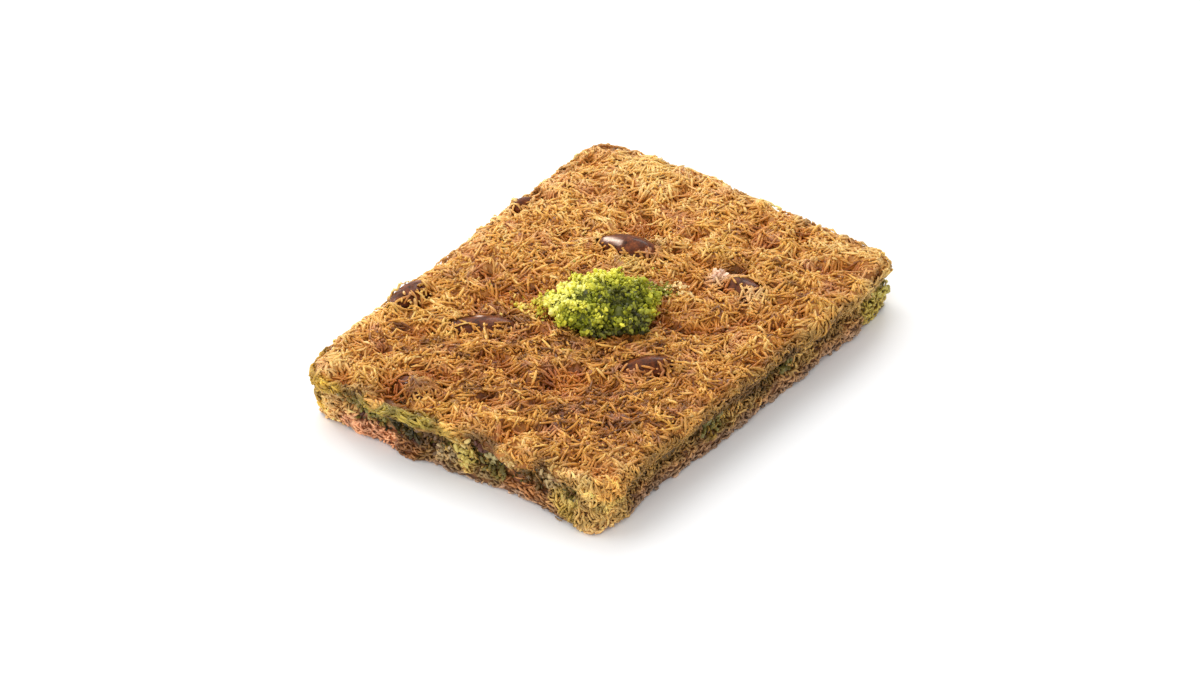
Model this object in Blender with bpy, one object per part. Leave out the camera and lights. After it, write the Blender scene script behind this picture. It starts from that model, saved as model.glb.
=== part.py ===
"""A slice of kadaif: shredded pastry over and under a layer of chopped pistachio.

The slice is a low block of three layers, cut from a tray. Whole pistachio kernels are sunk in
its top, and a mound of ground pistachio lies in the middle. Units are metres, +Z is up, +X runs
along the long side, and the origin is under the middle of the slice, on what it rests on.
"""

import math
import random

import bmesh
import bpy
from mathutils import Matrix, Vector, noise
from mathutils.bvhtree import BVHTree

MM = 0.001

# Driving dimensions of the slice
SLICE_LENGTH = 110 * MM
SLICE_WIDTH = 80 * MM
SLICE_HEIGHT = 14 * MM
BOTTOM_THICKNESS = 4.0 * MM
FILLING_THICKNESS = 4.8 * MM
GAP = 0.3 * MM
SPECK = 0.03 * MM
CORNER_RADIUS = 4.5 * MM
SHOULDER = 0.6 * MM
SHOULDER_DROP = 0.7 * MM

# How far the corners have moved from those of a plain block, in mm, at the base and at the top,
# in the order left back, right back, left front, right front
BASE_CORNER_SHIFTS = ((0.2, -1.6), (-0.4, 0.9), (-0.6, 0.8), (-1.2, -0.2))
TOP_CORNER_SHIFTS = ((-4.0, -1.6), (-0.2, 0.9), (2.8, -1.0), (-0.8, -2.4))
WANDER = 0.8 * MM
WANDER_LENGTH = 24 * MM

# Where the side swells out, or in if the amount is below 0: the middle (x, y, height), how far
# it reaches along the side, and the amount, all in mm
SWELLS = (
    ((40, -41, 0), 7, 1.5),
    ((19, -41, 0), 5, 1.2),
    ((-8, -41, 0), 10, 1.4),
    ((-56, 11, 0), 6, 1.4),
    ((-56, 33, 0), 5, 1.2),
    ((-56, -15, 0), 13, -1.7),
    ((56, -38, 7), 5, 1.2),
    ((56, 4, 14), 22, 0.7),
    ((-46, 40, 14), 9, 0.7),
    ((-58, 36, 14), 6, -1.0),
    ((55, -43, 14), 5, -1.2),
)
SWELL_HEIGHT = 7 * MM

# Each layer's side from its top to its base: (height, how far out of the plain block)
CRUST_SIDE = ((12.6 * MM, 0.8 * MM), (11.0 * MM, 0.7 * MM), (9.4 * MM, 0.3 * MM))
FILLING_SIDE = ((6.7 * MM, -0.8 * MM), (4.3 * MM, -0.6 * MM))
BOTTOM_SIDE = ((2.2 * MM, 0.3 * MM), (0.0 * MM, -0.4 * MM))
FILLING_TOP_INSET = 0.7 * MM
BOTTOM_TOP_INSET = 0.2 * MM
CRUST_CELL = 4.6 * MM
LOWER_CELL = 5.0 * MM
TOP_RELIEF = 0.6 * MM
SIDE_RELIEF = 0.5 * MM

# Shredded pastry
STRAND_RADIUS = 0.45 * MM
STRAND_LIFT = (-0.1 * MM, 0.35 * MM)
TOP_STRAND_SPACING = 7.9 * MM
TOP_STRAND_LENGTH = (4.5 * MM, 9.5 * MM)
TOP_STRAND_BEND = 0.5
SIDE_STRAND_LENGTH = (3.5 * MM, 7 * MM)
SIDE_STRAND_TILT = 0.6
CRUST_SIDE_STRANDS = 36
BOTTOM_SIDE_STRANDS = 28
FRINGE_HEAD = 11.6 * MM
FRINGE_FOOT = (3.6 * MM, 6.5 * MM)
FRINGE_OUT = (-0.6 * MM, 0.5 * MM)
FRINGE_SWAY = 2.2 * MM

# The corners that a fringe hangs over: the side that the corner ends, the fringe's width along
# the rim and its number of strands
FRINGES = {"left_fringe": (1, 12 * MM, 8), "front_fringe": (2, 9 * MM, 7)}

# Chopped and ground pistachio
FILLING_CHUNKS = 54
FILLING_CHUNK_RADIUS = (1.2 * MM, 2.0 * MM)
MOUND_CENTRE = (-1.8 * MM, -1.6 * MM)
MOUND_HEADING = math.radians(-54)
MOUND_LENGTH = 26.5 * MM
MOUND_WIDTH = 22 * MM
MOUND_HEIGHT = 7.8 * MM
MOUND_RELIEF = 0.16
MOUND_GRAINS = 34
MOUND_GRAIN_RADIUS = (1.3 * MM, 2.1 * MM)

# Whole kernels: centre in plan, height of the centre, (length, width, thickness), all in mm,
# and the heading of the long axis in degrees
KERNELS = {
    "kernel_1": ((22.6, 9.0), 13.3, (14.4, 7.8, 5.6), -78),
    "kernel_2": ((-21.1, 17.2), 12.8, (15.4, 7.4, 5.2), -54),
    "kernel_3": ((-14.0, -20.5), 12.8, (13.4, 7.2, 5.2), -41),
    "kernel_4": ((23.8, -20.5), 12.8, (12.0, 7.6, 5.2), -90),
    "kernel_5": ((-47.0, 15.8), 12.6, (10.5, 6.6, 4.8), -104),
    "kernel_6": ((-20.3, 37.0), 13.2, (12.6, 6.4, 4.8), 2),
    "kernel_7": ((23.6, 38.6), 12.8, (6.0, 4.0, 3.6), -8),
}
KERNEL_TAPER = 0.16

FILLING_LOW = BOTTOM_THICKNESS + GAP
FILLING_HIGH = FILLING_LOW + FILLING_THICKNESS
CRUST_LOW = FILLING_HIGH + GAP
MOUND_LOW = SLICE_HEIGHT + GAP
CORE_HALF = Vector((SLICE_LENGTH / 2 - CORNER_RADIUS, SLICE_WIDTH / 2 - CORNER_RADIUS, 0))
SIDE_RUNS = (2 * CORE_HALF.y, 2 * CORE_HALF.x) * 2
CORNER_RUN = CORNER_RADIUS * math.pi / 2
RIM_LENGTH = sum(SIDE_RUNS) + 4 * CORNER_RUN
UP = Vector((0, 0, 1))


# Places on the slice. The plan is an inner rectangle, grown by the corner radius.


def clamped(value, limit):
    return max(-limit, min(limit, value))


def grown(place, reach):
    """The place this far out of the inner rectangle, level with a place and straight out from it."""
    inner = Vector((clamped(place.x, CORE_HALF.x), clamped(place.y, CORE_HALF.y), place.z))
    return inner + (place - inner).normalized() * reach


def rim_at(share):
    """A place on the inner rectangle, this share of the way round, and the way out from it."""
    distance = share % 1 * RIM_LENGTH
    side = 0
    while distance >= SIDE_RUNS[side] + CORNER_RUN:
        distance -= SIDE_RUNS[side] + CORNER_RUN
        side += 1
    along = min(distance, SIDE_RUNS[side]) - SIDE_RUNS[side] / 2
    angle = max(distance - SIDE_RUNS[side], 0) / CORNER_RADIUS
    turn = Matrix.Rotation(side * math.pi / 2, 3, "Z")
    inner = turn @ Vector((SIDE_RUNS[1 - side % 2] / 2, along, 0))
    return inner, turn @ Vector((math.cos(angle), math.sin(angle), 0))


def corner_share(side):
    """The share of the way round at the middle of the corner that ends this side."""
    return (sum(SIDE_RUNS[: side + 1]) + (side + 0.5) * CORNER_RUN) / RIM_LENGTH


def on_plan(across, along, reach):
    """Where a point of a square from -1 to 1 lies on the plan: corners become quarter discs."""
    place = Vector((across * (CORE_HALF.x + reach), along * (CORE_HALF.y + reach), 0))
    past = (abs(place.x) - CORE_HALF.x, abs(place.y) - CORE_HALF.y)
    return grown(place, max(past)) if min(past) > 0 else place


def ellipse_share(place, centre, heading, length, width):
    """How far a place is from an ellipse's centre, where the edge of the ellipse is 1."""
    offset = Vector((place.x - centre[0], place.y - centre[1]))
    local = Matrix.Rotation(-heading, 2) @ offset
    return math.hypot(local.x / (length / 2), local.y / (width / 2))


def mound_share(place):
    return ellipse_share(place, MOUND_CENTRE, MOUND_HEADING, MOUND_LENGTH, MOUND_WIDTH)


def crust_top(place):
    """The crust's top: broad swells and small bumps, but level under the mound."""
    swell = noise.noise(Vector((place.x, place.y, 0)) / (24 * MM)) * 0.8
    bump = noise.noise(Vector((place.x, place.y, SLICE_HEIGHT)) / (5.5 * MM)) * 0.9
    free = min(max((mound_share(place) - 1.1) / 0.4, 0), 1)
    return SLICE_HEIGHT + TOP_RELIEF * (swell + bump) * free


def under_topping(place):
    """Whether a strand may not pass here, because the mound or a kernel is in the way."""
    if mound_share(place) < 1.13:
        return True
    clear = 2 * (STRAND_RADIUS + GAP)
    for (x, y), _, (length, width, _), heading in KERNELS.values():
        size = (length * MM + clear, width * MM + clear)
        if ellipse_share(place, (x * MM, y * MM), math.radians(heading), *size) < 1:
            return True
    return False


def swell_at(place):
    """How far the slice's side is moved out at a place by the swells near it."""
    out = (place - grown(place, 0)) / CORNER_RADIUS
    total = 0
    for middle, reach, amount in SWELLS:
        offset = place - Vector(middle) * MM
        spread = (offset.xy.length / (reach * MM)) ** 2 + (offset.z / SWELL_HEIGHT) ** 2
        total += amount * MM * math.exp(-spread)
    return out * total


def settled(place):
    """Where a place of the plain block goes: the corners lean, and the edges wander."""
    across = 0.5 + place.x / SLICE_LENGTH
    along = 0.5 + place.y / SLICE_WIDTH
    rise = min(max(place.z / SLICE_HEIGHT, 0), 1)
    weights = (
        (1 - across) * along,
        across * along,
        (1 - across) * (1 - along),
        across * (1 - along),
    )
    lean = Vector((0, 0, 0))
    for weight, base, top in zip(weights, BASE_CORNER_SHIFTS, TOP_CORNER_SHIFTS):
        lean += Vector((*base, 0)).lerp(Vector((*top, 0)), rise) * weight * MM
    spot = Vector((place.x, place.y, place.z / 2)) / WANDER_LENGTH
    drift = Vector((noise.noise(spot), noise.noise(spot + Vector((7, 3, 5))), 0))
    return place + lean + drift * WANDER + swell_at(place)


# Objects, materials and joining


def clear_scene():
    for obj in list(bpy.data.objects):
        bpy.data.objects.remove(obj, do_unlink=True)


def new_collection(name):
    made = bpy.data.collections.new(name)
    bpy.context.scene.collection.children.link(made)
    return made


def helper_collection(name):
    """A collection for the pieces that a Boolean takes: they are no part of the slice."""
    made = new_collection(name)
    made.hide_render = True
    return made


def food_material(name, colour, roughness):
    material = bpy.data.materials.new(name)
    material.use_nodes = True
    shader = material.node_tree.nodes["Principled BSDF"]
    shader.inputs["Base Color"].default_value = (*colour, 1)
    shader.inputs["Roughness"].default_value = roughness
    shader.inputs["Metallic"].default_value = 0
    return material


def mesh_object(name, bm, collection):
    """A named object that holds the mesh being edited, with its faces turned outwards."""
    bmesh.ops.recalc_face_normals(bm, faces=bm.faces)
    mesh = bpy.data.meshes.new(name)
    bm.to_mesh(mesh)
    bm.free()
    obj = bpy.data.objects.new(name, mesh)
    obj.display_type = "WIRE" if collection.hide_render else "TEXTURED"
    collection.objects.link(obj)
    return obj


def evaluated_mesh(obj):
    bpy.context.view_layer.update()
    graph = bpy.context.evaluated_depsgraph_get()
    return bpy.data.meshes.new_from_object(obj.evaluated_get(graph))


def surface_of(obj):
    """The object's faces as a surface that rays can be cast on."""
    corners = [vert.co for vert in obj.data.vertices]
    return BVHTree.FromPolygons(corners, [face.vertices[:] for face in obj.data.polygons])


def shells_of(bm):
    """The mesh's vertices in sets, one for each connected shell."""
    waiting = set(bm.verts)
    shells = []
    while waiting:
        front = [waiting.pop()]
        shell = set(front)
        while front:
            vert = front.pop()
            linked = {edge.other_vert(vert) for edge in vert.link_edges} & waiting
            waiting -= linked
            shell |= linked
            front.extend(linked)
        shells.append(shell)
    return shells


def close_specks(bm):
    """Closes up the tiny edges that a union leaves where faces nearly meet.

    An edge stays if its ends share more than two neighbours: the surface would be pinched there.
    """
    for edge in sorted(bm.edges, key=bmesh.types.BMEdge.calc_length):
        if not edge.is_valid or edge.calc_length() > SPECK:
            continue
        one, other = edge.verts
        shared = {near.other_vert(one) for near in one.link_edges}
        shared &= {near.other_vert(other) for near in other.link_edges}
        if len(shared) == 2:
            middle = (one.co + other.co) / 2
            bmesh.ops.pointmerge(bm, verts=[one, other], merge_co=middle)


def clean_up(obj):
    """Keeps the largest shell of a mesh as triangles: scrap and sealed hollows go, and specks."""
    bm = bmesh.new()
    bm.from_mesh(obj.data)
    largest = max(shells_of(bm), key=len)
    scraps = [vert for vert in bm.verts if vert not in largest]
    bmesh.ops.delete(bm, geom=scraps, context="VERTS")
    bmesh.ops.triangulate(bm, faces=bm.faces)
    close_specks(bm)
    bm.to_mesh(obj.data)
    bm.free()


def combine(core, pieces, operation):
    """Applies one Boolean of the core with a collection's objects, and removes those."""
    combined = core.modifiers.new(operation.lower(), "BOOLEAN")
    combined.operation = operation
    combined.operand_type = "COLLECTION"
    combined.collection = pieces
    combined.solver = "MANIFOLD"
    core.data = evaluated_mesh(core)
    core.modifiers.clear()
    for piece in list(pieces.objects):
        bpy.data.objects.remove(piece, do_unlink=True)
    bpy.data.collections.remove(pieces)
    clean_up(core)


# Shapes that the layers share


def layer_block(name, cell, top, inset, drop, side, collection):
    """A layer: a grid for its top, its side carried down through rings, and a flat base.

    The top is a function from a place to its height. Its rim is set in and lowered, which
    rounds the shoulder between the top and the side.
    """
    bm = bmesh.new()
    columns = round(SLICE_LENGTH / cell)
    rows = round(SLICE_WIDTH / cell)
    bmesh.ops.create_grid(bm, x_segments=columns, y_segments=rows, size=1)
    for vert in bm.verts:
        vert.co = on_plan(vert.co.x, vert.co.y, CORNER_RADIUS - inset)
        vert.co.z = top(vert.co) - (drop if vert.is_boundary else 0)
    rim = [edge for edge in bm.edges if edge.is_boundary]
    for height, out in side:
        made = bmesh.ops.extrude_edge_only(bm, edges=rim)["geom"]
        for vert in (item for item in made if isinstance(item, bmesh.types.BMVert)):
            rough = noise.noise(Vector((*vert.co.xy, height)) / (4.5 * MM)) * SIDE_RELIEF
            level = Vector((*vert.co.xy, height))
            vert.co = grown(level, CORNER_RADIUS + out + rough)
        rim = [edge for edge in bm.edges if edge.is_boundary]
    bmesh.ops.holes_fill(bm, edges=rim, sides=0)
    return mesh_object(name, bm, collection)


def strand(name, points, collection):
    """A shred of pastry: a four-sided tube along the points, its end caps welded to it."""
    curve = bpy.data.curves.new(name, "CURVE")
    curve.dimensions = "3D"
    curve.bevel_depth = STRAND_RADIUS
    curve.bevel_resolution = 0
    curve.use_fill_caps = True
    spline = curve.splines.new("POLY")
    spline.points.add(len(points) - 1)
    for place, point in zip(spline.points, points):
        place.co = (*point, 1)
    guide = bpy.data.objects.new(name, curve)
    collection.objects.link(guide)
    bm = bmesh.new()
    bm.from_mesh(evaluated_mesh(guide))
    bpy.data.objects.remove(guide, do_unlink=True)
    bmesh.ops.remove_doubles(bm, verts=bm.verts, dist=STRAND_RADIUS / 100)
    return mesh_object(name, bm, collection)


def bent_path(middle, heading, bend, length, steps):
    """Points along a gentle bend through the middle, in plan."""
    points = [Vector((0, 0, 0))]
    for step in range(steps):
        angle = heading + bend * (step - (steps - 1) / 2)
        points.append(points[-1] + Vector((math.cos(angle), math.sin(angle), 0)) * length / steps)
    centre = sum(points, Vector((0, 0, 0))) / len(points)
    return [point - centre + middle for point in points]


def nut_piece(name, radius, draw, collection):
    """A chopped bit of nut at the origin: a 20-sided ball, unevenly stretched and turned."""
    bm = bmesh.new()
    bmesh.ops.create_icosphere(bm, subdivisions=1, radius=radius)
    stretch = (draw.uniform(0.85, 1.2), draw.uniform(0.7, 1.0), draw.uniform(0.65, 0.95))
    bmesh.ops.scale(bm, vec=stretch, verts=bm.verts)
    axis = Vector((draw.uniform(-1, 1), draw.uniform(-1, 1), 1))
    spin = Matrix.Rotation(draw.uniform(0, math.tau), 3, axis)
    bmesh.ops.rotate(bm, matrix=spin, verts=bm.verts)
    return mesh_object(name, bm, collection)


def place_between(piece, place, low, high):
    """Moves a piece to a place, raised or lowered so that it stays between two heights."""
    heights = [vert.co.z for vert in piece.data.vertices]
    level = min(max(place.z, low - min(heights)), high - max(heights))
    piece.data.transform(Matrix.Translation((place.x, place.y, level)))


# Pastry


def lay_top_strands(surface, collection, draw):
    """Strands on the crust's top, one to each cell of a jittered grid, half sunk in it."""
    columns = round(SLICE_LENGTH / TOP_STRAND_SPACING)
    rows = round(SLICE_WIDTH / TOP_STRAND_SPACING)
    for cell in range(columns * rows):
        across = (cell % columns + draw.uniform(0.1, 0.9)) / columns - 0.5
        along = (cell // columns + draw.uniform(0.1, 0.9)) / rows - 0.5
        middle = Vector((across * SLICE_LENGTH, along * SLICE_WIDTH, 0))
        heading = draw.uniform(0, math.pi)
        bend = draw.uniform(-TOP_STRAND_BEND, TOP_STRAND_BEND)
        length = draw.uniform(*TOP_STRAND_LENGTH)
        path = bent_path(middle, heading, bend, length, draw.choice((1, 1, 2)))
        points = []
        for place in path:
            lift = draw.uniform(*STRAND_LIFT)
            hit = surface.ray_cast(place + UP * 2 * SLICE_HEIGHT, -UP)[0]
            if hit and hit.z > SLICE_HEIGHT - 2 * SHOULDER_DROP and not under_topping(place):
                points.append(hit + UP * lift)
        if len(points) == len(path):
            strand(f"top_strand_{cell}", points, collection)


def lay_side_strands(name, surface, low, high, count, collection, draw):
    """Strands on a layer's side, half sunk in it and kept between the layer's faces."""
    for number in range(count):
        share = (number + draw.uniform(0.2, 0.8)) / count
        length = draw.uniform(*SIDE_STRAND_LENGTH)
        tilt = draw.uniform(-SIDE_STRAND_TILT, SIDE_STRAND_TILT)
        middle = draw.uniform(low, high)
        points = []
        for step in draw.choice(((-0.5, 0.5), (-0.5, 0, 0.5))):
            inner, outward = rim_at(share + step * length * math.cos(tilt) / RIM_LENGTH)
            level = middle + step * length * math.sin(tilt)
            level = min(max(level, low + 1.3 * STRAND_RADIUS), high - 1.3 * STRAND_RADIUS)
            start = inner + outward * 3 * CORNER_RADIUS + UP * level
            hit = surface.ray_cast(start, -outward)[0]
            points.append(hit + outward * draw.uniform(*STRAND_LIFT))
        strand(f"{name}_{number}", points, collection)


def under_fringe(share):
    """Whether a fringe hangs here, so that the filling's bits have to stay clear of it."""
    for side, spread, _ in FRINGES.values():
        apart = abs(share % 1 - corner_share(side)) * RIM_LENGTH
        if apart < spread / 2 + FRINGE_SWAY + FILLING_CHUNK_RADIUS[1]:
            return True
    return False


def hang_fringe(name, collection, draw):
    """Strands that hang from the crust over a corner, clear of the layers under it."""
    side, spread, count = FRINGES[name]
    share = corner_share(side)
    for number in range(count):
        at = share + ((number + 0.5) / count - 0.5) * spread / RIM_LENGTH
        foot = draw.uniform(*FRINGE_FOOT)
        sway = draw.uniform(-FRINGE_SWAY, FRINGE_SWAY) / RIM_LENGTH
        points = []
        for step in (0, 0.45, 1):
            inner, outward = rim_at(at + sway * step)
            level = FRINGE_HEAD + (foot - FRINGE_HEAD) * step
            out = FRINGE_OUT[0] + (FRINGE_OUT[1] - FRINGE_OUT[0]) * min(2.4 * step, 1)
            points.append(inner + outward * (CORNER_RADIUS + out) + UP * level)
        strand(f"{name}_{number}", points, collection)


def make_crust(collection):
    """The upper pastry, with strands on its top and side and pockets for the kernels."""
    shoulder = (SHOULDER, SHOULDER_DROP)
    crust = layer_block("top_pastry", CRUST_CELL, crust_top, *shoulder, CRUST_SIDE, collection)
    surface = surface_of(crust)
    strands = helper_collection("crust_strands")
    lay_top_strands(surface, strands, random.Random(11))
    levels = (CRUST_LOW, SLICE_HEIGHT - SHOULDER_DROP)
    draw = random.Random(12)
    lay_side_strands("rim_strand", surface, *levels, CRUST_SIDE_STRANDS, strands, draw)
    for name in FRINGES:
        hang_fringe(name, strands, draw)
    combine(crust, strands, "UNION")
    pockets = helper_collection("kernel_pockets")
    for name, spec in KERNELS.items():
        make_kernel(name + "_pocket", spec, GAP, pockets)
    combine(crust, pockets, "DIFFERENCE")
    return crust


def make_bottom(collection):
    """The lower pastry: a flat base, and strands on its side."""

    def top(_):
        return BOTTOM_THICKNESS

    shape = (LOWER_CELL, top, BOTTOM_TOP_INSET, 0, BOTTOM_SIDE)
    bottom = layer_block("bottom_pastry", *shape, collection)
    surface = surface_of(bottom)
    strands = helper_collection("bottom_strands")
    levels = (0, BOTTOM_THICKNESS)
    draw = random.Random(21)
    lay_side_strands("low_strand", surface, *levels, BOTTOM_SIDE_STRANDS, strands, draw)
    combine(bottom, strands, "UNION")
    return bottom


# Pistachio


def make_filling(collection):
    """The chopped pistachio between the pastry layers, with its bits showing at the side."""

    def top(_):
        return FILLING_HIGH

    draw = random.Random(31)
    shape = (LOWER_CELL, top, FILLING_TOP_INSET, 0, FILLING_SIDE)
    filling = layer_block("filling", *shape, collection)
    surface = surface_of(filling)
    chunks = helper_collection("filling_chunks")
    for number in range(FILLING_CHUNKS):
        share = (number + draw.uniform(0.25, 0.75)) / FILLING_CHUNKS
        if under_fringe(share):
            continue
        inner, outward = rim_at(share)
        level = draw.uniform(FILLING_LOW, FILLING_HIGH)
        hit = surface.ray_cast(inner + outward * 3 * CORNER_RADIUS + UP * level, -outward)[0]
        radius = draw.uniform(*FILLING_CHUNK_RADIUS)
        chunk = nut_piece(f"chunk_{number}", radius, draw, chunks)
        place = hit - outward * radius * draw.uniform(0.1, 0.5)
        place_between(chunk, place, FILLING_LOW + 0.1 * MM, FILLING_HIGH - 0.1 * MM)
    combine(filling, chunks, "UNION")
    return filling


def mound_surface(direction):
    """Where a direction from the middle of the mound's base meets the mound's core."""
    grain = MOUND_GRAIN_RADIUS[0]
    half = (MOUND_LENGTH / 2 - grain, MOUND_WIDTH / 2 - grain, MOUND_HEIGHT - grain)
    uneven = 1 + MOUND_RELIEF * noise.noise(direction * 1.7)
    local = Vector([part * size * uneven for part, size in zip(direction, half)])
    turn = Matrix.Rotation(MOUND_HEADING, 3, "Z")
    return turn @ local + Vector((*MOUND_CENTRE, MOUND_LOW))


def make_mound(collection):
    """The heap of ground pistachio: an uneven dome, with grains on it on a golden spiral."""
    draw = random.Random(41)
    bm = bmesh.new()
    bmesh.ops.create_icosphere(bm, subdivisions=3, radius=1)
    whole = bm.verts[:] + bm.edges[:] + bm.faces[:]
    cut = {"plane_co": (0, 0, 0), "plane_no": UP, "dist": 0.001}
    bmesh.ops.bisect_plane(bm, geom=whole, clear_inner=True, **cut)
    rim = [edge for edge in bm.edges if edge.is_boundary]
    bmesh.ops.holes_fill(bm, edges=rim, sides=0)
    for vert in bm.verts:
        vert.co = mound_surface(vert.co)
    mound = mesh_object("pistachio_mound", bm, collection)
    grains = helper_collection("mound_grains")
    golden = math.pi * (3 - math.sqrt(5))
    for number in range(MOUND_GRAINS):
        rise = 1 - (number + 0.5) / MOUND_GRAINS
        level = math.sqrt(1 - rise**2)
        angle = number * golden
        direction = Vector((level * math.cos(angle), level * math.sin(angle), rise))
        grain = nut_piece(f"grain_{number}", draw.uniform(*MOUND_GRAIN_RADIUS), draw, grains)
        place_between(grain, mound_surface(direction), MOUND_LOW, MOUND_LOW + MOUND_HEIGHT)
    combine(mound, grains, "UNION")
    return mound


def make_kernel(name, spec, margin, collection):
    """A whole kernel lying on its side, narrower at one end, or its pocket with a margin."""
    (x, y), level, size, heading = spec
    bm = bmesh.new()
    bmesh.ops.create_uvsphere(bm, u_segments=10, v_segments=6, radius=1)
    bmesh.ops.rotate(bm, matrix=Matrix.Rotation(math.pi / 2, 3, "Y"), verts=bm.verts)
    for vert in bm.verts:
        slim = 1 - KERNEL_TAPER * vert.co.x
        vert.co.x *= size[0] * MM / 2 + margin
        vert.co.y *= size[1] * MM / 2 * slim + margin
        vert.co.z *= size[2] * MM / 2 * slim + margin
    turn = Matrix.Rotation(math.radians(heading), 3, "Z")
    bmesh.ops.rotate(bm, matrix=turn, verts=bm.verts)
    bmesh.ops.translate(bm, vec=Vector((x, y, level)) * MM, verts=bm.verts)
    kernel = mesh_object(name, bm, collection)
    kernel.data.shade_smooth()
    return kernel


# The whole slice


def centre_on_origin(objects):
    """Moves the slice in plan until the middle of its bounds is over the origin."""
    places = [vert.co for obj in objects for vert in obj.data.vertices]
    middle = Vector((0, 0, 0))
    for axis in range(2):
        values = [place[axis] for place in places]
        middle[axis] = (min(values) + max(values)) / 2
    for obj in objects:
        obj.data.transform(Matrix.Translation(-middle))


def build():
    clear_scene()
    kadaif = new_collection("kadaif")
    baked = food_material("baked_pastry", (0.48, 0.21, 0.05), 0.45)
    syrup = food_material("syrup_pastry", (0.30, 0.10, 0.04), 0.3)
    chopped = food_material("chopped_pistachio", (0.16, 0.17, 0.03), 0.5)
    ground = food_material("ground_pistachio", (0.25, 0.38, 0.02), 0.6)
    skin = food_material("kernel_skin", (0.11, 0.03, 0.025), 0.3)
    pieces = [
        (make_bottom(kadaif), syrup),
        (make_filling(kadaif), chopped),
        (make_crust(kadaif), baked),
        (make_mound(kadaif), ground),
    ]
    for name, spec in KERNELS.items():
        pieces.append((make_kernel(name, spec, 0, kadaif), skin))
    for obj, material in pieces:
        for vert in obj.data.vertices:
            vert.co = settled(vert.co)
        obj.data.materials.clear()
        obj.data.materials.append(material)
    centre_on_origin([obj for obj, _ in pieces])


build()
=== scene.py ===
# A slice of kadaif on a pale floor: thousands of pastry shreds, chopped and ground pistachio,
# and whole kernels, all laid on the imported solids. Lengths here are in millimetres, until a mesh
# is written, and every random draw is seeded. A layer of noise is an amount, a size and a seed,
# and a run is a distance round the slab, from the right side's front end.

import math

import bpy
import numpy as np
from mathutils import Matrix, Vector


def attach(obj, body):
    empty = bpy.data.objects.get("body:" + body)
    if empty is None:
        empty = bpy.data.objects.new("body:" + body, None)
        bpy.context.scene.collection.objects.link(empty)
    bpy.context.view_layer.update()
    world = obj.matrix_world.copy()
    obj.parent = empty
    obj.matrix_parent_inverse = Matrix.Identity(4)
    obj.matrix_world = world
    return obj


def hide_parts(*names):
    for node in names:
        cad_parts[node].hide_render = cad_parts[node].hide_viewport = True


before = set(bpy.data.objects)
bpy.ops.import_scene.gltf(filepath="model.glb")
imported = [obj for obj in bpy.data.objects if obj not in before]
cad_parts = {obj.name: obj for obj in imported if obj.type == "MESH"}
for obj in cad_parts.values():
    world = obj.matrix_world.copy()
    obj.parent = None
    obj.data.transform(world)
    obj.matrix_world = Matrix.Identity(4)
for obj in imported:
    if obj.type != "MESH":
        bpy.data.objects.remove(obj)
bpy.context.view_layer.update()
millimetre = 0.001
quarter = math.pi / 2
tiny = 1e-9
lastCell = 1.001  # grids are read to just short of this many cells from their end
seeds = {
    "crust": 101, "sides": 201, "bottom": 211, "filling": 301, "fillingBits": 302,
    "mound": 401, "grains": 402, "crumbs": 403, "kernels": 500,
}

# the slab that carries everything: an inner rectangle, and what is out of it up to the sides
slab = {
    "halfLength": 46.0,
    "halfWidth": 31.0,
    "cornerRadius": 9.0,  # how long the run round a corner is taken to be
    "shoulder": 1.7,  # rounding between the top and the sides
    "rimHeight": 12.4,  # where the side's reach counts as the rim's
    "skinLow": 0.4,  # the lowest that the skin of top and sides goes
    "floorGap": 0.02,  # nothing is lower than this
    "lumps": [(0.5, 6.5, 91), (0.35, 2.8, 92)],  # noise by which the sides stand out or in
    "lumpsOut": 9.0,  # how far out of the rectangle that noise is taken
    "lumpsDown": 0.8,  # how much of the height counts for it
}
# the grids that the solids are measured into
maps = {
    "cell": 0.6,
    "half": (62.0, 47.0),  # half the plan
    "high": 16.0,
    "steps": 12,  # places along each edge of a triangle
    "leastReach": 3.0,  # cells of the sides with less are filled in
    "crustFrom": 8.5,  # what is lower isn't the crust's top
    "pocketBelow": 12.6,  # what is lower is a pocket
    "pocketMargin": 1.5,  # round each kernel
    "sideRounds": (24, 2),  # of filling in and softening
    "topRounds": (40, 1, 3),  # of filling in, and of softening the pocketed and the closed grid
}
# how the noise makes a number from three cell numbers and a seed
scramble = {
    "cells": [73856093, 19349663, 83492791],
    "seed": 7919,
    "steps": [(13, 1274126177), (15, 668265263)],
    "lastShift": 16,
    "largest": 0xFFFFFFFF,
}


def unit(vectors):
    # each vector divided by its length
    return vectors / np.maximum(np.linalg.norm(vectors, axis=-1, keepdims=True), tiny)


def roughness3d(places, size, seed):
    # value noise from -1 to 1: random numbers on a lattice of this cell size, mixed by smoothstep
    # weights
    scaled = places / size
    cell = np.floor(scaled).astype(np.int64)
    part = scaled - cell
    part = part * part * (3 - 2 * part)
    total = np.zeros(places.shape[:-1])
    largest = scramble["largest"]
    for corner in range(8):
        step = np.array([corner & 1, corner >> 1 & 1, corner >> 2])
        at = (cell + step) * scramble["cells"]
        mixed = at[..., 0] ^ at[..., 1] ^ at[..., 2] ^ seed * scramble["seed"]
        for shift, factor in scramble["steps"]:
            mixed = (mixed ^ mixed >> shift) * factor & largest
        value = (mixed ^ mixed >> scramble["lastShift"]) / largest * 2 - 1
        total += value * np.prod(np.where(step == 1, part, 1 - part), axis=-1)
    return total


def noiseSum(places, layers):
    # layers of noise added up, each with its own amount, size and seed
    return sum(amount * roughness3d(places, size, seed) for amount, size, seed in layers)


def onPlan(x, y):
    # two numbers made places with no height, for noise to be read at
    return np.stack([x, y, 0 * x], -1)


def bell(x, y, middle, reach, power=1):
    # 1 at a middle in plan, and less by a bell curve of this reach; a higher power flattens its top
    squared = ((x - middle[0]) ** 2 + (y - middle[1]) ** 2) / reach**2
    return np.exp(-(squared**power))


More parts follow.
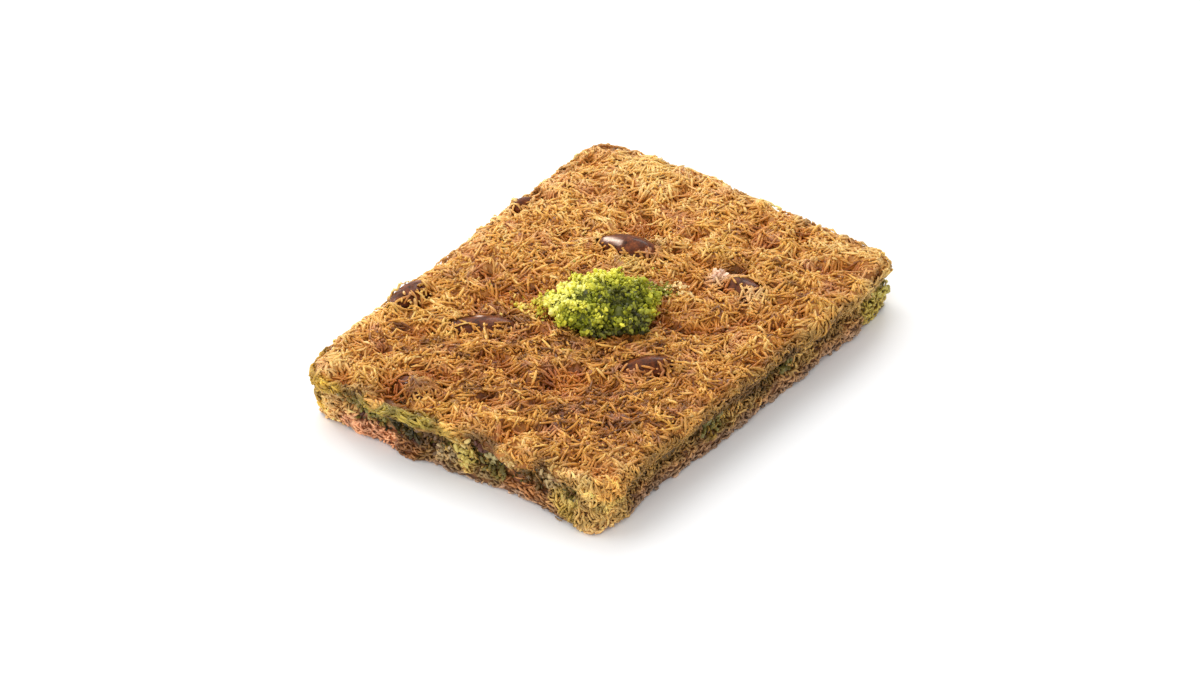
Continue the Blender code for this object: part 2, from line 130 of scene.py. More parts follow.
def slope(values, width):
    # 0 below the middle of a slope and 1 above it, the slope itself as wide as this
    return np.clip(values / width + 0.5, 0, 1)


def softened(grid, rounds, wrap):
    # each cell becomes the mean of itself and its eight neighbours, this many times
    for _ in range(rounds):
        padded = np.pad(grid, ((1, 1), (0, 0)), mode="wrap" if wrap else "edge")
        padded = np.pad(padded, ((0, 0), (1, 1)), mode="edge")
        rows, columns = grid.shape
        moves = [(down, right) for down in range(3) for right in range(3)]
        grid = sum(padded[down : down + rows, right : right + columns] for down, right in moves)
        grid = grid / len(moves)
    return grid


def filledIn(grid, known, rounds, wrap):
    # unknown cells take the mean of the known cells round them, outward from what is known
    values = np.where(known, grid, 0.0)
    share = known.astype(float)
    for _ in range(rounds):
        near = softened(values * share, 1, wrap)
        weight = softened(share, 1, wrap)
        grown = (weight > 0) & (share == 0)
        values = np.where(grown, near / np.maximum(weight, tiny), values)
        share = np.where(grown, 1.0, share)
    return values


def readGrid(grid, across, along, wrap):
    # bilinear reading of a grid at places given in cells
    rows, columns = grid.shape
    if not wrap:
        across = np.clip(across, 0, rows - lastCell)
    along = np.clip(along, 0, columns - lastCell)
    row = np.floor(across).astype(int)
    column = np.floor(along).astype(int)
    rowPart, columnPart = across - row, along - column
    following = (row + 1) % rows
    row = row % rows
    near = grid[row, column] * (1 - columnPart) + grid[row, column + 1] * columnPart
    far = grid[following, column] * (1 - columnPart) + grid[following, column + 1] * columnPart
    return near * (1 - rowPart) + far * rowPart


def cellOf(values, start, count):
    # which cell of a map each number falls into, counted from the map's start
    return np.clip(np.floor((values - start) / maps["cell"]).astype(int), 0, count - 1)


def cadCorners(node):
    # the corners of the node's triangles, in millimetres
    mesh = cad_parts[node].data
    mesh.calc_loop_triangles()
    places = np.empty(len(mesh.vertices) * 3)
    mesh.vertices.foreach_get("co", places)
    corners = np.empty(len(mesh.loop_triangles) * 3, np.int32)
    mesh.loop_triangles.foreach_get("vertices", corners)
    return places.reshape(-1, 3)[corners.reshape(-1, 3)] / millimetre


def evenPoints(corners, steps):
    # points all over each triangle: its corners mixed by a lattice of weights that sum to one
    first, second = np.meshgrid(np.arange(steps + 1), np.arange(steps + 1))
    kept = first + second <= steps
    first, second = first[kept], second[kept]
    weights = np.stack([first, second, steps - first - second], 1) / steps
    return np.einsum("wc,tcx->twx", weights, corners).reshape(-1, 3)


def ringOf(x, y):
    # the inner rectangle's nearest place, how far and which way out of it a place is, and how far
    # round the rectangle that is, where a corner counts as an arc
    half, wide, arc = slab["halfLength"], slab["halfWidth"], slab["cornerRadius"]
    nearX, nearY = np.clip(x, -half, half), np.clip(y, -wide, wide)
    away = np.hypot(x - nearX, y - nearY)
    outside = away > 1e-6
    angle = np.where(outside, np.arctan2(y - nearY, x - nearX) % math.tau, 0)
    outX = np.where(outside, np.cos(angle), 1.0)
    outY = np.where(outside, np.sin(angle), 0.0)
    side = np.floor(angle / quarter + 1e-7).astype(int) % 4
    along = np.choose(
        side,
        [
            nearY + wide,
            2 * wide + half - nearX,
            2 * (wide + half) + wide - nearY,
            4 * wide + 3 * half + nearX,
        ],
    )
    return nearX, nearY, away, outX, outY, along + arc * angle


cornerRun = slab["cornerRadius"] * quarter
sideRuns = [2 * slab["halfWidth"], 2 * slab["halfLength"]] * 2
ringMarks = np.concatenate([[0], np.cumsum([run for side in sideRuns for run in (side, cornerRun)])])
ringLength = ringMarks[-1]


def ringPlace(run):
    # the reverse: the inner rectangle's place at a distance round, and the direction out of it
    half, wide = slab["halfLength"], slab["halfWidth"]
    run = run % ringLength
    nearX = np.interp(run, ringMarks, [half, half, half, -half, -half, -half, -half, half, half])
    nearY = np.interp(run, ringMarks, [-wide, wide, wide, wide, wide, -wide, -wide, -wide, -wide])
    angle = np.interp(run, ringMarks, np.array([0, 0, 1, 1, 2, 2, 3, 3, 4]) * quarter)
    return nearX, nearY, np.cos(angle), np.sin(angle)


def reachGrid(nodes):
    # how far the solids' sides stand out of the inner rectangle: the greatest at each place round
    # and each height
    rows, columns = round(ringLength / maps["cell"]), round(maps["high"] / maps["cell"])
    grid = np.full((rows, columns), -1.0)
    for node in nodes:
        points = evenPoints(cadCorners(node), maps["steps"])
        _, _, away, _, _, run = ringOf(points[:, 0], points[:, 1])
        row = np.floor(run / ringLength * rows).astype(int) % rows
        np.maximum.at(grid, (row, cellOf(points[:, 2], 0, columns)), away)
    fillRounds, softRounds = maps["sideRounds"]
    grid = filledIn(grid, grid > maps["leastReach"], fillRounds, True)
    return softened(grid, softRounds, True)


def ellipseShare(x, y, kernel, margin):
    # how far a place is from a kernel's middle, where 1 is its outline with this margin
    centre, axes, half = kernel["centre"], kernel["axes"], kernel["half"]
    along = (x - centre[0]) * axes[0][0] + (y - centre[1]) * axes[0][1]
    across = (x - centre[0]) * axes[1][0] + (y - centre[1]) * axes[1][1]
    return np.hypot(along / (half[0] + margin), across / (half[1] + margin))


def measureKernel(node):
    # a kernel's middle, its half sizes, and its axes in plan from the spread of its corners; which
    # way the long one points is told by the lean of the corners
    places = cadCorners(node).reshape(-1, 3)
    centre = (places.min(0) + places.max(0)) / 2
    flat = places[:, :2] - centre[:2]
    _, vectors = np.linalg.eigh(flat.T @ flat)
    long, short = vectors[:, 1], vectors[:, 0]
    half = [np.ptp(flat @ long) / 2, np.ptp(flat @ short) / 2, np.ptp(places[:, 2]) / 2]
    if np.mean((flat @ long) ** 3) > tiny:
        long = -long
    return {"centre": centre, "axes": [long, short], "half": half}


def topGrid():
    # the crust's height over the plan: the greatest in each cell. The first grid keeps the
    # kernels' pockets, and the second passes over them
    cell, (halfX, halfY) = maps["cell"], maps["half"]
    rows, columns = round(2 * halfX / cell), round(2 * halfY / cell)
    points = evenPoints(cadCorners("top_pastry"), maps["steps"])
    points = points[points[:, 2] > maps["crustFrom"]]
    row, column = cellOf(points[:, 0], -halfX, rows), cellOf(points[:, 1], -halfY, columns)
    grid = np.full((rows, columns), -1.0)
    np.maximum.at(grid, (row, column), points[:, 2])
    x = (np.arange(rows)[:, None] + 0.5) * cell - halfX
    y = (np.arange(columns)[None, :] + 0.5) * cell - halfY
    clear = grid > maps["pocketBelow"]
    for kernel in kernels.values():
        clear &= ellipseShare(x, y, kernel, maps["pocketMargin"]) > 1
    pocket = (grid > maps["crustFrom"]) & (grid < maps["pocketBelow"])
    fillRounds, pocketRounds, closedRounds = maps["topRounds"]
    over = filledIn(grid, clear, fillRounds, False)
    pocketed = filledIn(grid, clear | pocket, fillRounds, False)
    return softened(pocketed, pocketRounds, False), softened(over, closedRounds, False)


kernels = {name: measureKernel(name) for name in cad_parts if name.startswith("kernel")}
moundForm = measureKernel("pistachio_mound")
# for each kernel, the part of it that shreds leave bare: how far that is moved in plan, its shares
# of the length and the width, and the most that a shred is raised to pass over the kernel
kernelBare = {
    "kernel_1": ((0.6, -0.1), (0.82, 0.85), 1.4),
    "kernel_2": ((0.8, 0.6), (0.88, 0.62), 1.5),
    "kernel_3": ((0.3, 1.1), (0.8, 0.56), 1.5),
    "kernel_4": ((0.4, -0.6), (0.5, 0.3), 2.6),
    "kernel_5": ((-0.3, 3.0), (0.32, 0.36), 2.6),
    "kernel_6": ((1.8, 0.8), (0.52, 0.3), 2.3),
    "kernel_7": ((0.0, 0.2), (0.5, 0.3), 2.1),
}
# how shreds pass over the kernels that they cover
kernelCover = {
    "margin": 0.3,  # round the kernel's outline
    "over": 0.15,  # how far its back counts as higher
    "limit": 9.0,  # the most that a shred is raised elsewhere
}
pocketGrid, crustGrid = topGrid()
reachOf = {name: reachGrid([name]) for name in ("bottom_pastry", "filling", "top_pastry")}
reachAll = reachGrid(list(reachOf))
print("measured the solids")


def topAt(x, y, grid):
    # the crust's height at a place in plan
    cell, (halfX, halfY) = maps["cell"], maps["half"]
    return readGrid(grid, (x + halfX) / cell - 0.5, (y + halfY) / cell - 0.5, False)


def reachAt(run, height, grid):
    # how far the side stands out at a run and a height
    across = run / ringLength * grid.shape[0] - 0.5
    return readGrid(grid, across, height / maps["cell"] - 0.5, True)


def rimAt(run, grid):
    # how far the side stands out at the rim's height
    return reachAt(run, slab["rimHeight"] + 0 * run, grid)


def lumpsAt(nearX, nearY, outX, outY, run, height):
    # how far the sides stand out or in besides: lumps of noise, taken at a fixed way out so that
    # they close, and the zones' own
    out = slab["lumpsOut"]
    at = np.stack([nearX + out * outX, nearY + out * outY, slab["lumpsDown"] * height], -1)
    total = noiseSum(at, slab["lumps"])
    for zone in sideZones:
        total = total + zone[3] * zoneShare(run % ringLength, height, zone)
    return total


def onSkin(x, y, lift, reachMap=reachAll, topMap=crustGrid):
    # wraps a flat plan over the slab: as it is on top, round the shoulder, and then down the side
    # for as far as it reaches out of the rim; the lift goes straight out of that skin
    nearX, nearY, away, outX, outY, run = ringOf(x, y)
    shoulder = slab["shoulder"]
    rim = rimAt(run, reachMap)
    edge = rim - shoulder
    past = np.maximum(away - edge, 0)
    turn = np.minimum(past / shoulder, quarter)
    down = np.maximum(past - shoulder * quarter, 0)
    level = np.minimum(away, edge)
    top = topAt(nearX + outX * level, nearY + outY * level, topMap)
    height = np.maximum(top - shoulder * (1 - np.cos(turn)) - down, slab["skinLow"])
    lumps = lumpsAt(nearX, nearY, outX, outY, run, height)
    bulge = (reachAt(run, height, reachMap) - rim + lumps) * turn / quarter
    reach = np.where(past > 0, edge + shoulder * np.sin(turn) + bulge, away)
    normal = np.stack([outX * np.sin(turn), outY * np.sin(turn), np.cos(turn)], -1)
    place = np.stack([nearX + outX * reach, nearY + outY * reach, height], -1)
    return place + normal * lift[..., None], normal


def onSide(run, height, lift, reachMap):
    # a place on a side: so far round, so high, and so far out of the solid's own side
    nearX, nearY, outX, outY = ringPlace(run)
    reach = reachAt(run, height, reachMap) + lift
    reach = reach + lumpsAt(nearX, nearY, outX, outY, run, height)
    place = np.stack([nearX + outX * reach, nearY + outY * reach, height], -1)
    return place, np.stack([outX, outY, 0 * outX], -1)


def meshPiece(name, places, faceSets, finish, replaced=(), marks=None, smooth=True):
    # writes places and faces into a mesh, marks its points, and puts the piece on the body
    mesh = bpy.data.meshes.new(name)
    corners = np.concatenate([faces.ravel() for faces in faceSets])
    counts = np.concatenate([np.full(len(faces), faces.shape[1]) for faces in faceSets])
    starts = np.concatenate([[0], np.cumsum(counts)[:-1]])
    mesh.vertices.add(len(places))
    places = np.maximum(places, [-np.inf, -np.inf, slab["floorGap"]])
    mesh.vertices.foreach_set("co", (places * millimetre).ravel())
    mesh.loops.add(len(corners))
    mesh.loops.foreach_set("vertex_index", corners.astype(np.int32))
    mesh.polygons.add(len(counts))
    mesh.polygons.foreach_set("loop_start", starts.astype(np.int32))
    mesh.update(calc_edges=True)
    mesh.validate()
    mesh.polygons.foreach_set("use_smooth", np.full(len(mesh.polygons), smooth))
    for mark, values in marks.items():
        if values.ndim == 2:
            rgba = np.concatenate([np.clip(values, 0, 1), np.ones((len(values), 1))], 1)
            made = mesh.attributes.new(mark, "FLOAT_COLOR", "POINT")
            made.data.foreach_set("color", rgba.astype(np.float32).ravel())
        else:
            made = mesh.attributes.new(mark, "FLOAT", "POINT")
            made.data.foreach_set("value", values.astype(np.float32))
    piece = bpy.data.objects.new(name, mesh)
    bpy.context.scene.collection.objects.link(piece)
    mesh.materials.append(finish)
    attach(piece, "root")
    if replaced:
        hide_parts(*replaced)
    print(f"{name}: {(counts - 2).sum()} triangles")


def tubeArrays(path, normal, radius, around, flatness):
    # a closed tube along each path: rings across the path, four-cornered faces between rings and
    # one face at each end
    count, rings, _ = path.shape
    along = unit(np.gradient(path, axis=1))
    side = unit(np.cross(along, normal))
    up = np.cross(side, along)
    angle = math.tau * np.arange(around) / around
    across = np.cos(angle)[None, None, :, None] * side[:, :, None]
    across = across + flatness * np.sin(angle)[None, None, :, None] * up[:, :, None]
    places = path[:, :, None] + radius[:, :, None, None] * across
    index = np.arange(count * rings * around).reshape(count, rings, around)
    following = np.roll(index, -1, axis=2)
    quads = np.stack([index[:, :-1], index[:, 1:], following[:, 1:], following[:, :-1]], -1)
    ends = np.concatenate([index[:, 0], index[:, -1, ::-1]]).reshape(-1, around)
    return places.reshape(-1, 3), [quads.reshape(-1, 4), ends]


def perPoint(values, around):
    # a number or a colour for each ring of each tube, spread to all of the ring's points
    return np.repeat(values.reshape(-1, *values.shape[2:]), around, axis=0)


def closedFaces(rows, columns):
    # the faces of a grid that is joined round its columns, and a fan to a point at each end; the
    # two points come after the grid's own
    index = np.arange(rows * columns).reshape(rows, columns)
    following = np.roll(index, -1, axis=1)
    quads = np.stack([index[:-1], index[1:], following[1:], following[:-1]], -1).reshape(-1, 4)
    top = np.stack([index[0], following[0], np.full(columns, rows * columns)], -1)
    low = np.stack([following[-1], index[-1], np.full(columns, rows * columns + 1)], -1)
    return [quads, np.concatenate([top, low])]


def ballArrays(centres, frames, columns, rows, cuts):
    # a small ball for each centre, stretched by its three axes; each cut flattens it where it
    # stands further out than the cut's plane
    turn = math.tau * np.arange(columns)[None] / columns
    rise = math.pi * (np.arange(rows)[:, None] + 1) / (rows + 1)
    rings = np.stack(
        [np.sin(rise) * np.cos(turn), np.sin(rise) * np.sin(turn), np.cos(rise) + 0 * turn], -1
    )
    ball = np.concatenate([rings.reshape(-1, 3), [[0, 0, 1], [0, 0, -1]]])
    local = np.broadcast_to(ball, (len(centres), len(ball), 3)).copy()
    for direction, depth in cuts:
        beyond = np.maximum(np.einsum("nvx,nx->nv", local, direction) - depth[:, None], 0)
        local -= beyond[..., None] * direction[:, None]
    places = centres[:, None] + np.einsum("nvx,nxy->nvy", local, frames)
    first = np.arange(len(centres))[:, None, None] * len(ball)
    faceSets = [
        (first + faces[None]).reshape(-1, faces.shape[1]) for faces in closedFaces(rows, columns)
    ]
    return places.reshape(-1, 3), faceSets


def shellArrays(grid):
    # a closed shell from a grid of places: rows run from pole to pole, columns run round, and each
    # pole row is joined into one point
    rows, columns, _ = grid.shape
    places = np.concatenate([grid[1:-1].reshape(-1, 3), grid[:1, 0], grid[-1:, 0]])
    return places, closedFaces(rows - 2, columns)


def randomFrames(draw, sizes):
    # three axes in random directions for each piece, as long as its half sizes
    first = unit(draw.normal(size=(len(sizes), 3)))
    second = unit(np.cross(first, draw.normal(size=(len(sizes), 3))))
    third = np.cross(first, second)
    return np.stack([first, second, third], 1) * sizes[:, :, None]


swayTurns = (0.7, 1.6)  # how many times a shred sways to and fro


def flowPaths(draw, x, y, heading, length, bend, wave, rings):
    # a flat path for each shred: its heading turns by the bend from end to end and sways by the
    # wave, and equal steps along it are added up from its middle
    share = np.linspace(-0.5, 0.5, rings)[None]
    phase = draw.uniform(0, math.tau, (len(x), 1))
    turns = draw.uniform(*swayTurns, (len(x), 1))
    angle = heading[:, None] + bend[:, None] * share
    angle = angle + wave[:, None] * np.sin(math.tau * turns * share + phase)
    stepX = np.cumsum(np.cos(angle), axis=1) * length[:, None] / rings
    stepY = np.cumsum(np.sin(angle), axis=1) * length[:, None] / rings
    stepX -= stepX.mean(1, keepdims=True)
    stepY -= stepY.mean(1, keepdims=True)
    return x[:, None] + stepX, y[:, None] + stepY, share


class Wire:
    # one output of a node; sums and products with it add Math nodes

    def __init__(self, finish, socket):
        self.finish, self.socket = finish, socket

    def math(self, operation, *values):
        return self.finish.node("ShaderNodeMath", {"operation": operation}, dict(enumerate(values)))

    def __add__(self, other):
        return self.math("ADD", self, other)

    __radd__ = __add__

    def __sub__(self, other):
        return self.math("SUBTRACT", self, other)

    def __rsub__(self, other):
        return self.math("SUBTRACT", other, self)

    def __mul__(self, other):
        return self.math("MULTIPLY", self, other)

    def held(self, low=0.0, high=1.0):
        return self.math("MINIMUM", self.math("MAXIMUM", self, low), high)


glowing = {"radius": (1.0, 0.8, 0.6), "scale": 0.8}  # how far light goes in, by colour


class Finish:
    # a material on one Principled shader, and the ways to add nodes to it

    def __init__(self, name, roughness, specular, coat=0.0, coatRoughness=0.1, glow=0.0):
        self.material = bpy.data.materials.new(name)
        self.material.use_nodes = True
        self.tree = self.material.node_tree
        self.shader = self.tree.nodes["Principled BSDF"]
        self.fix("Roughness", roughness)
        self.fix("Specular IOR Level", specular)
        self.fix("Coat Weight", coat)
        self.fix("Coat Roughness", coatRoughness)
        self.fix("Subsurface Weight", glow)
        self.fix("Subsurface Radius", glowing["radius"])
        self.fix("Subsurface Scale", glowing["scale"] * millimetre)

    def fix(self, socket, value):
        # sets a socket of the shader, or links a node to it
        if isinstance(value, Wire):
            self.tree.links.new(value.socket, self.shader.inputs[socket])
        else:
            self.shader.inputs[socket].default_value = value

    def node(self, kind, settings=None, values=None, out=0):
        # adds a node: its settings first, a ramp's stops among them, and then its sockets
        made = self.tree.nodes.new(kind)
        for setting, value in (settings or {}).items():
            if setting == "stops":
                while len(made.color_ramp.elements) < len(value):
                    made.color_ramp.elements.new(0.5)
                for element, (place, colour) in zip(made.color_ramp.elements, value):
                    element.position, element.color = place, (*colour, 1)
            else:
                setattr(made, setting, value)
        for socket, value in (values or {}).items():
            if isinstance(value, Wire):
                self.tree.links.new(value.socket, made.inputs[socket])
            else:
                made.inputs[socket].default_value = value
        return Wire(self, made.outputs[out])

    def mark(self, name, out="Fac"):
        # what the mesh carries at each point: a number, or a colour
        return self.node("ShaderNodeAttribute", {"attribute_name": name}, out=out)

    def noise(self, size, detail, rough):
        # noise whose lumps are about this many millimetres
        at = self.node("ShaderNodeTexCoord", out="Object")
        values = {"Vector": at, "Scale": 1 / (size * millimetre), "Detail": detail}
        return self.node("ShaderNodeTexNoise", {}, {**values, "Roughness": rough})

    def ramp(self, share, stops):
        # the colour that a number from 0 to 1 has between the stops
        return self.node("ShaderNodeValToRGB", {"stops": stops}, {0: share})

    def blend(self, share, one, other, kind="MIX"):
        # this share of the second colour over the first
        one, other = (
            paint if isinstance(paint, Wire) else (*paint, 1) for paint in (one, other)
        )
        settings = {"data_type": "RGBA", "blend_type": kind}
        return self.node("ShaderNodeMix", settings, {0: share, 6: one, 7: other}, out=2)

    def darkened(self, colour, share):
        # a colour times a number, through Vector Math
        grey = self.node("ShaderNodeCombineXYZ", {}, {0: share, 1: share, 2: share})
        return self.node("ShaderNodeVectorMath", {"operation": "MULTIPLY"}, {0: colour, 1: grey})

    def relief(self, height, distance, strength):
        # bumps of this distance in millimetres
        values = {"Strength": strength, "Distance": distance * millimetre, "Height": height}
        self.fix("Normal", self.node("ShaderNodeBump", {}, values))


# what the finishes of all the food but the kernels' have in common: the size, detail and
# roughness of the noise for colour and for relief, and the relief's distance and strength
food = {
    "specular": 0.25,
    "coatRoughness": 0.12,
    "speckle": (0.9, 2.0, 0.5),
    "sheen": 0.3,  # how much smoother and rougher the speckle makes it
    "sheenLimits": (0.12, 0.9),
    "grain": (0.4, 1.0, 0.5),
    "grainRelief": (0.12, 0.35),
}


def foodFinish(name, look):
    # the mark "tint" is the colour, the speckle makes it lighter and darker, and the mark "depth"
    # shades what lies low by the deep colour
    finish = Finish(name, look["roughness"], food["specular"], look["coat"], food["coatRoughness"],
                    look["glow"])
    speckle = finish.noise(*food["speckle"]) - 0.5
    colour = finish.darkened(finish.mark("tint", "Color"), 1 + speckle * (2 * look["contrast"]))
    colour = finish.blend((1 - finish.mark("depth")).held(), colour, look["deep"], "MULTIPLY")
    finish.fix("Base Color", colour)
    sheen = look["roughness"] + speckle * food["sheen"]
    finish.fix("Roughness", sheen.held(*food["sheenLimits"]))
    finish.relief(finish.noise(*food["grain"]), *food["grainRelief"])
    return finish.material


# how brown the crust is: a base, patches, bands along the rims, and zones, each with its middle
# in plan, its reach, and how much browner (or paler) it is there. Spots have a middle, a reach, a
# colour of their own and the share of it, and a few dark ones are painted shadows; casts colour
# what lies where their noise is high
browning = {
    "base": 0.45,
    "patches": [(0.15, 8.0, 5), (0.3, 2.4, 6), (0.27, 1.3, 7)],
    "rims": (56.0, 41.0),  # where they are in plan
    "rimBand": 3.5,  # how wide the bands are
    "rimPaler": {"back": -0.5, "left": -0.22, "right": -0.4, "front": -0.2},
    "zones": [
        ((-24.0, -8.0), 30.0, 0.2),
        ((-42.0, 14.0), 9.0, 0.1),
        ((40.0, 22.0), 26.0, -0.22),
        ((32.0, -24.0), 16.0, -0.06),
        ((-45.0, -27.0), 13.0, 0.15),
        ((-22.0, -36.0), 14.0, 0.15),
        ((0.0, 27.0), 12.0, -0.08),
        ((-52.0, 36.0), 8.0, -0.22),
        ((-54.0, -38.0), 7.0, -0.2),
        ((54.0, -30.0), 9.0, -0.2),
        ((-16.0, 12.0), 5.0, 0.2),
        ((21.0, 2.0), 3.5, 0.3),
        ((29.0, 0.6), 4.0, -0.35),
        ((33.0, -13.0), 4.0, 0.25),
        ((37.0, -33.0), 6.0, 0.15),
        ((-24.0, 1.0), 5.0, 0.15),
        ((-7.0, -41.0), 6.0, 0.15),
        ((-28.0, -12.0), 4.0, -0.3),
        ((-23.5, -7.0), 3.5, -0.3),
        ((-50.0, -15.0), 4.0, -0.32),
        ((-52.0, -34.0), 4.0, -0.25),
        ((-31.0, 30.0), 5.0, 0.12),
        ((15.0, 16.0), 4.0, 0.15),
    ],
    "spots": [
        ((-49.2, 18.6), 2.8, (0.50, 0.16, 0.06), 0.5),
        ((-48.4, 13.6), 2.6, (0.18, 0.07, 0.022), 0.7),
        ((-54.8, 13.4), 3.0, (0.74, 0.44, 0.11), 0.8),
        ((-56.5, 23.0), 4.0, (0.24, 0.14, 0.03), 0.7),
        ((-56.0, -6.5), 4.0, (0.27, 0.14, 0.03), 0.65),
        ((-48.5, -42.0), 4.0, (0.34, 0.17, 0.05), 0.55),
        ((26.0, 39.3), 4.0, (0.95, 0.64, 0.27), 0.8),
        # painted shadow at the right end of kernel_1
        ((26.5, 4.4), 2.0, (0.16, 0.07, 0.02), 0.7),
        # painted shadow under the mound's front foot
        ((-9.6, -3.6), 2.6, (0.14, 0.08, 0.02), 0.7),
        ((-46.5, -37.0), 4.0, (0.95, 0.66, 0.30), 0.35),
        ((-15.2, 13.0), 2.6, (0.15, 0.065, 0.02), 0.65),
        ((16.0, 4.1), 3.2, (0.90, 0.64, 0.20), 0.6),
        ((-24.0, -42.0), 3.0, (0.33, 0.175, 0.04), 0.75),
        ((19.0, -42.0), 3.0, (0.33, 0.175, 0.04), 0.75),
        ((28.0, -42.0), 3.0, (0.33, 0.175, 0.04), 0.45),
        ((-1.0, -42.0), 2.5, (0.33, 0.175, 0.04), 0.5),
        ((-57.0, -1.0), 3.0, (0.36, 0.20, 0.045), 0.6),
        ((-56.0, -19.5), 3.0, (0.52, 0.26, 0.055), 0.5),
        # painted shade in the hollow behind kernel_4
        ((29.4, -15.0), 2.3, (0.13, 0.06, 0.015), 0.85),
        ((24.0, -14.2), 2.4, (0.95, 0.66, 0.45), 0.85),
        ((22.1, -24.3), 2.6, (0.93, 0.62, 0.35), 0.55),
    ],
    "casts": [
        {
            "colour": (0.70, 0.31, 0.165), "share": 0.45, "limit": 0.35,
            "noise": [(1.6, 4.5, 61), (1.0, 1.8, 62)],
        },
        {
            "colour": (0.56, 0.34, 0.05), "share": 0.35, "limit": 0.3,
            "noise": [(1.6, 5.5, 63), (1.0, 2.0, 64)],
        },
    ],
}


def bakeAt(places):
    # browning: the base, patches from noise, the zones' bell curves, and paler bands along the rims
    x, y = places[..., 0], places[..., 1]
    total = browning["base"] + noiseSum(places, browning["patches"])
    for middle, reach, amount in browning["zones"]:
        total = total + amount * bell(x, y, middle, reach)
    rimX, rimY = browning["rims"]
    distances = {"back": rimY - y, "left": rimX + x, "right": rimX - x, "front": rimY + y}
    for side, paler in browning["rimPaler"].items():
        total = total + paler * np.exp(-np.maximum(distances[side], 0) / browning["rimBand"])
    return total


def colourAt(stops, share):
    # a palette read at each share: its colours, mixed evenly between its stops
    at = [place for place, _ in stops]
    channels = [[colour[channel] for _, colour in stops] for channel in range(3)]
    return np.stack([np.interp(share, at, channel) for channel in channels], -1)


def mixedIn(colours, other, share):
    # colours moved this share of the way to another colour
    return colours + (np.array(other) - colours) * share[..., None]


# colours of what shows on the cut sides, by height, and in zones of their own: from and to round
# the slab, from and to in height, the colour, and how far the zone stands out (or in). Runs from
# 0 to 62 are the right side, 76 to 168 the back, 182 to 244 the left side, and 258 to 350 the
# front, with the corners between them
sideColour = {
    "orange": (0.80, 0.40, 0.09),
    "gold": (0.62, 0.37, 0.05),
    "cream": (0.90, 0.53, 0.19),
    "yellowGreen": (0.36, 0.255, 0.04),
    "paleGreen": (0.66, 0.50, 0.09),
    "goldOlive": (0.36, 0.22, 0.04),
    "paleYellow": (0.60, 0.39, 0.10),
    "beige": (0.45, 0.29, 0.12),
    "tan": (0.64, 0.38, 0.11),
    "orangeBrown": (0.50, 0.235, 0.045),
    "oliveBrown": (0.36, 0.19, 0.04),
    "paleGold": (0.76, 0.47, 0.14),
    "rosy": (0.86, 0.40, 0.20),
    "russet": (0.38, 0.16, 0.05),
    "brown": (0.46, 0.235, 0.085),
    "shade": (0.21, 0.105, 0.028),
    "foot": (0.44, 0.27, 0.16),
    "umber": (0.36, 0.205, 0.055),
    "darkOlive": (0.15, 0.085, 0.012),
}
sideHeights = [
    (0.0, "foot"), (1.2, "foot"), (3.6, "brown"), (5.6, "umber"), (9.4, "umber"),
    (11.4, "orangeBrown"), (13.2, "orange"),
]
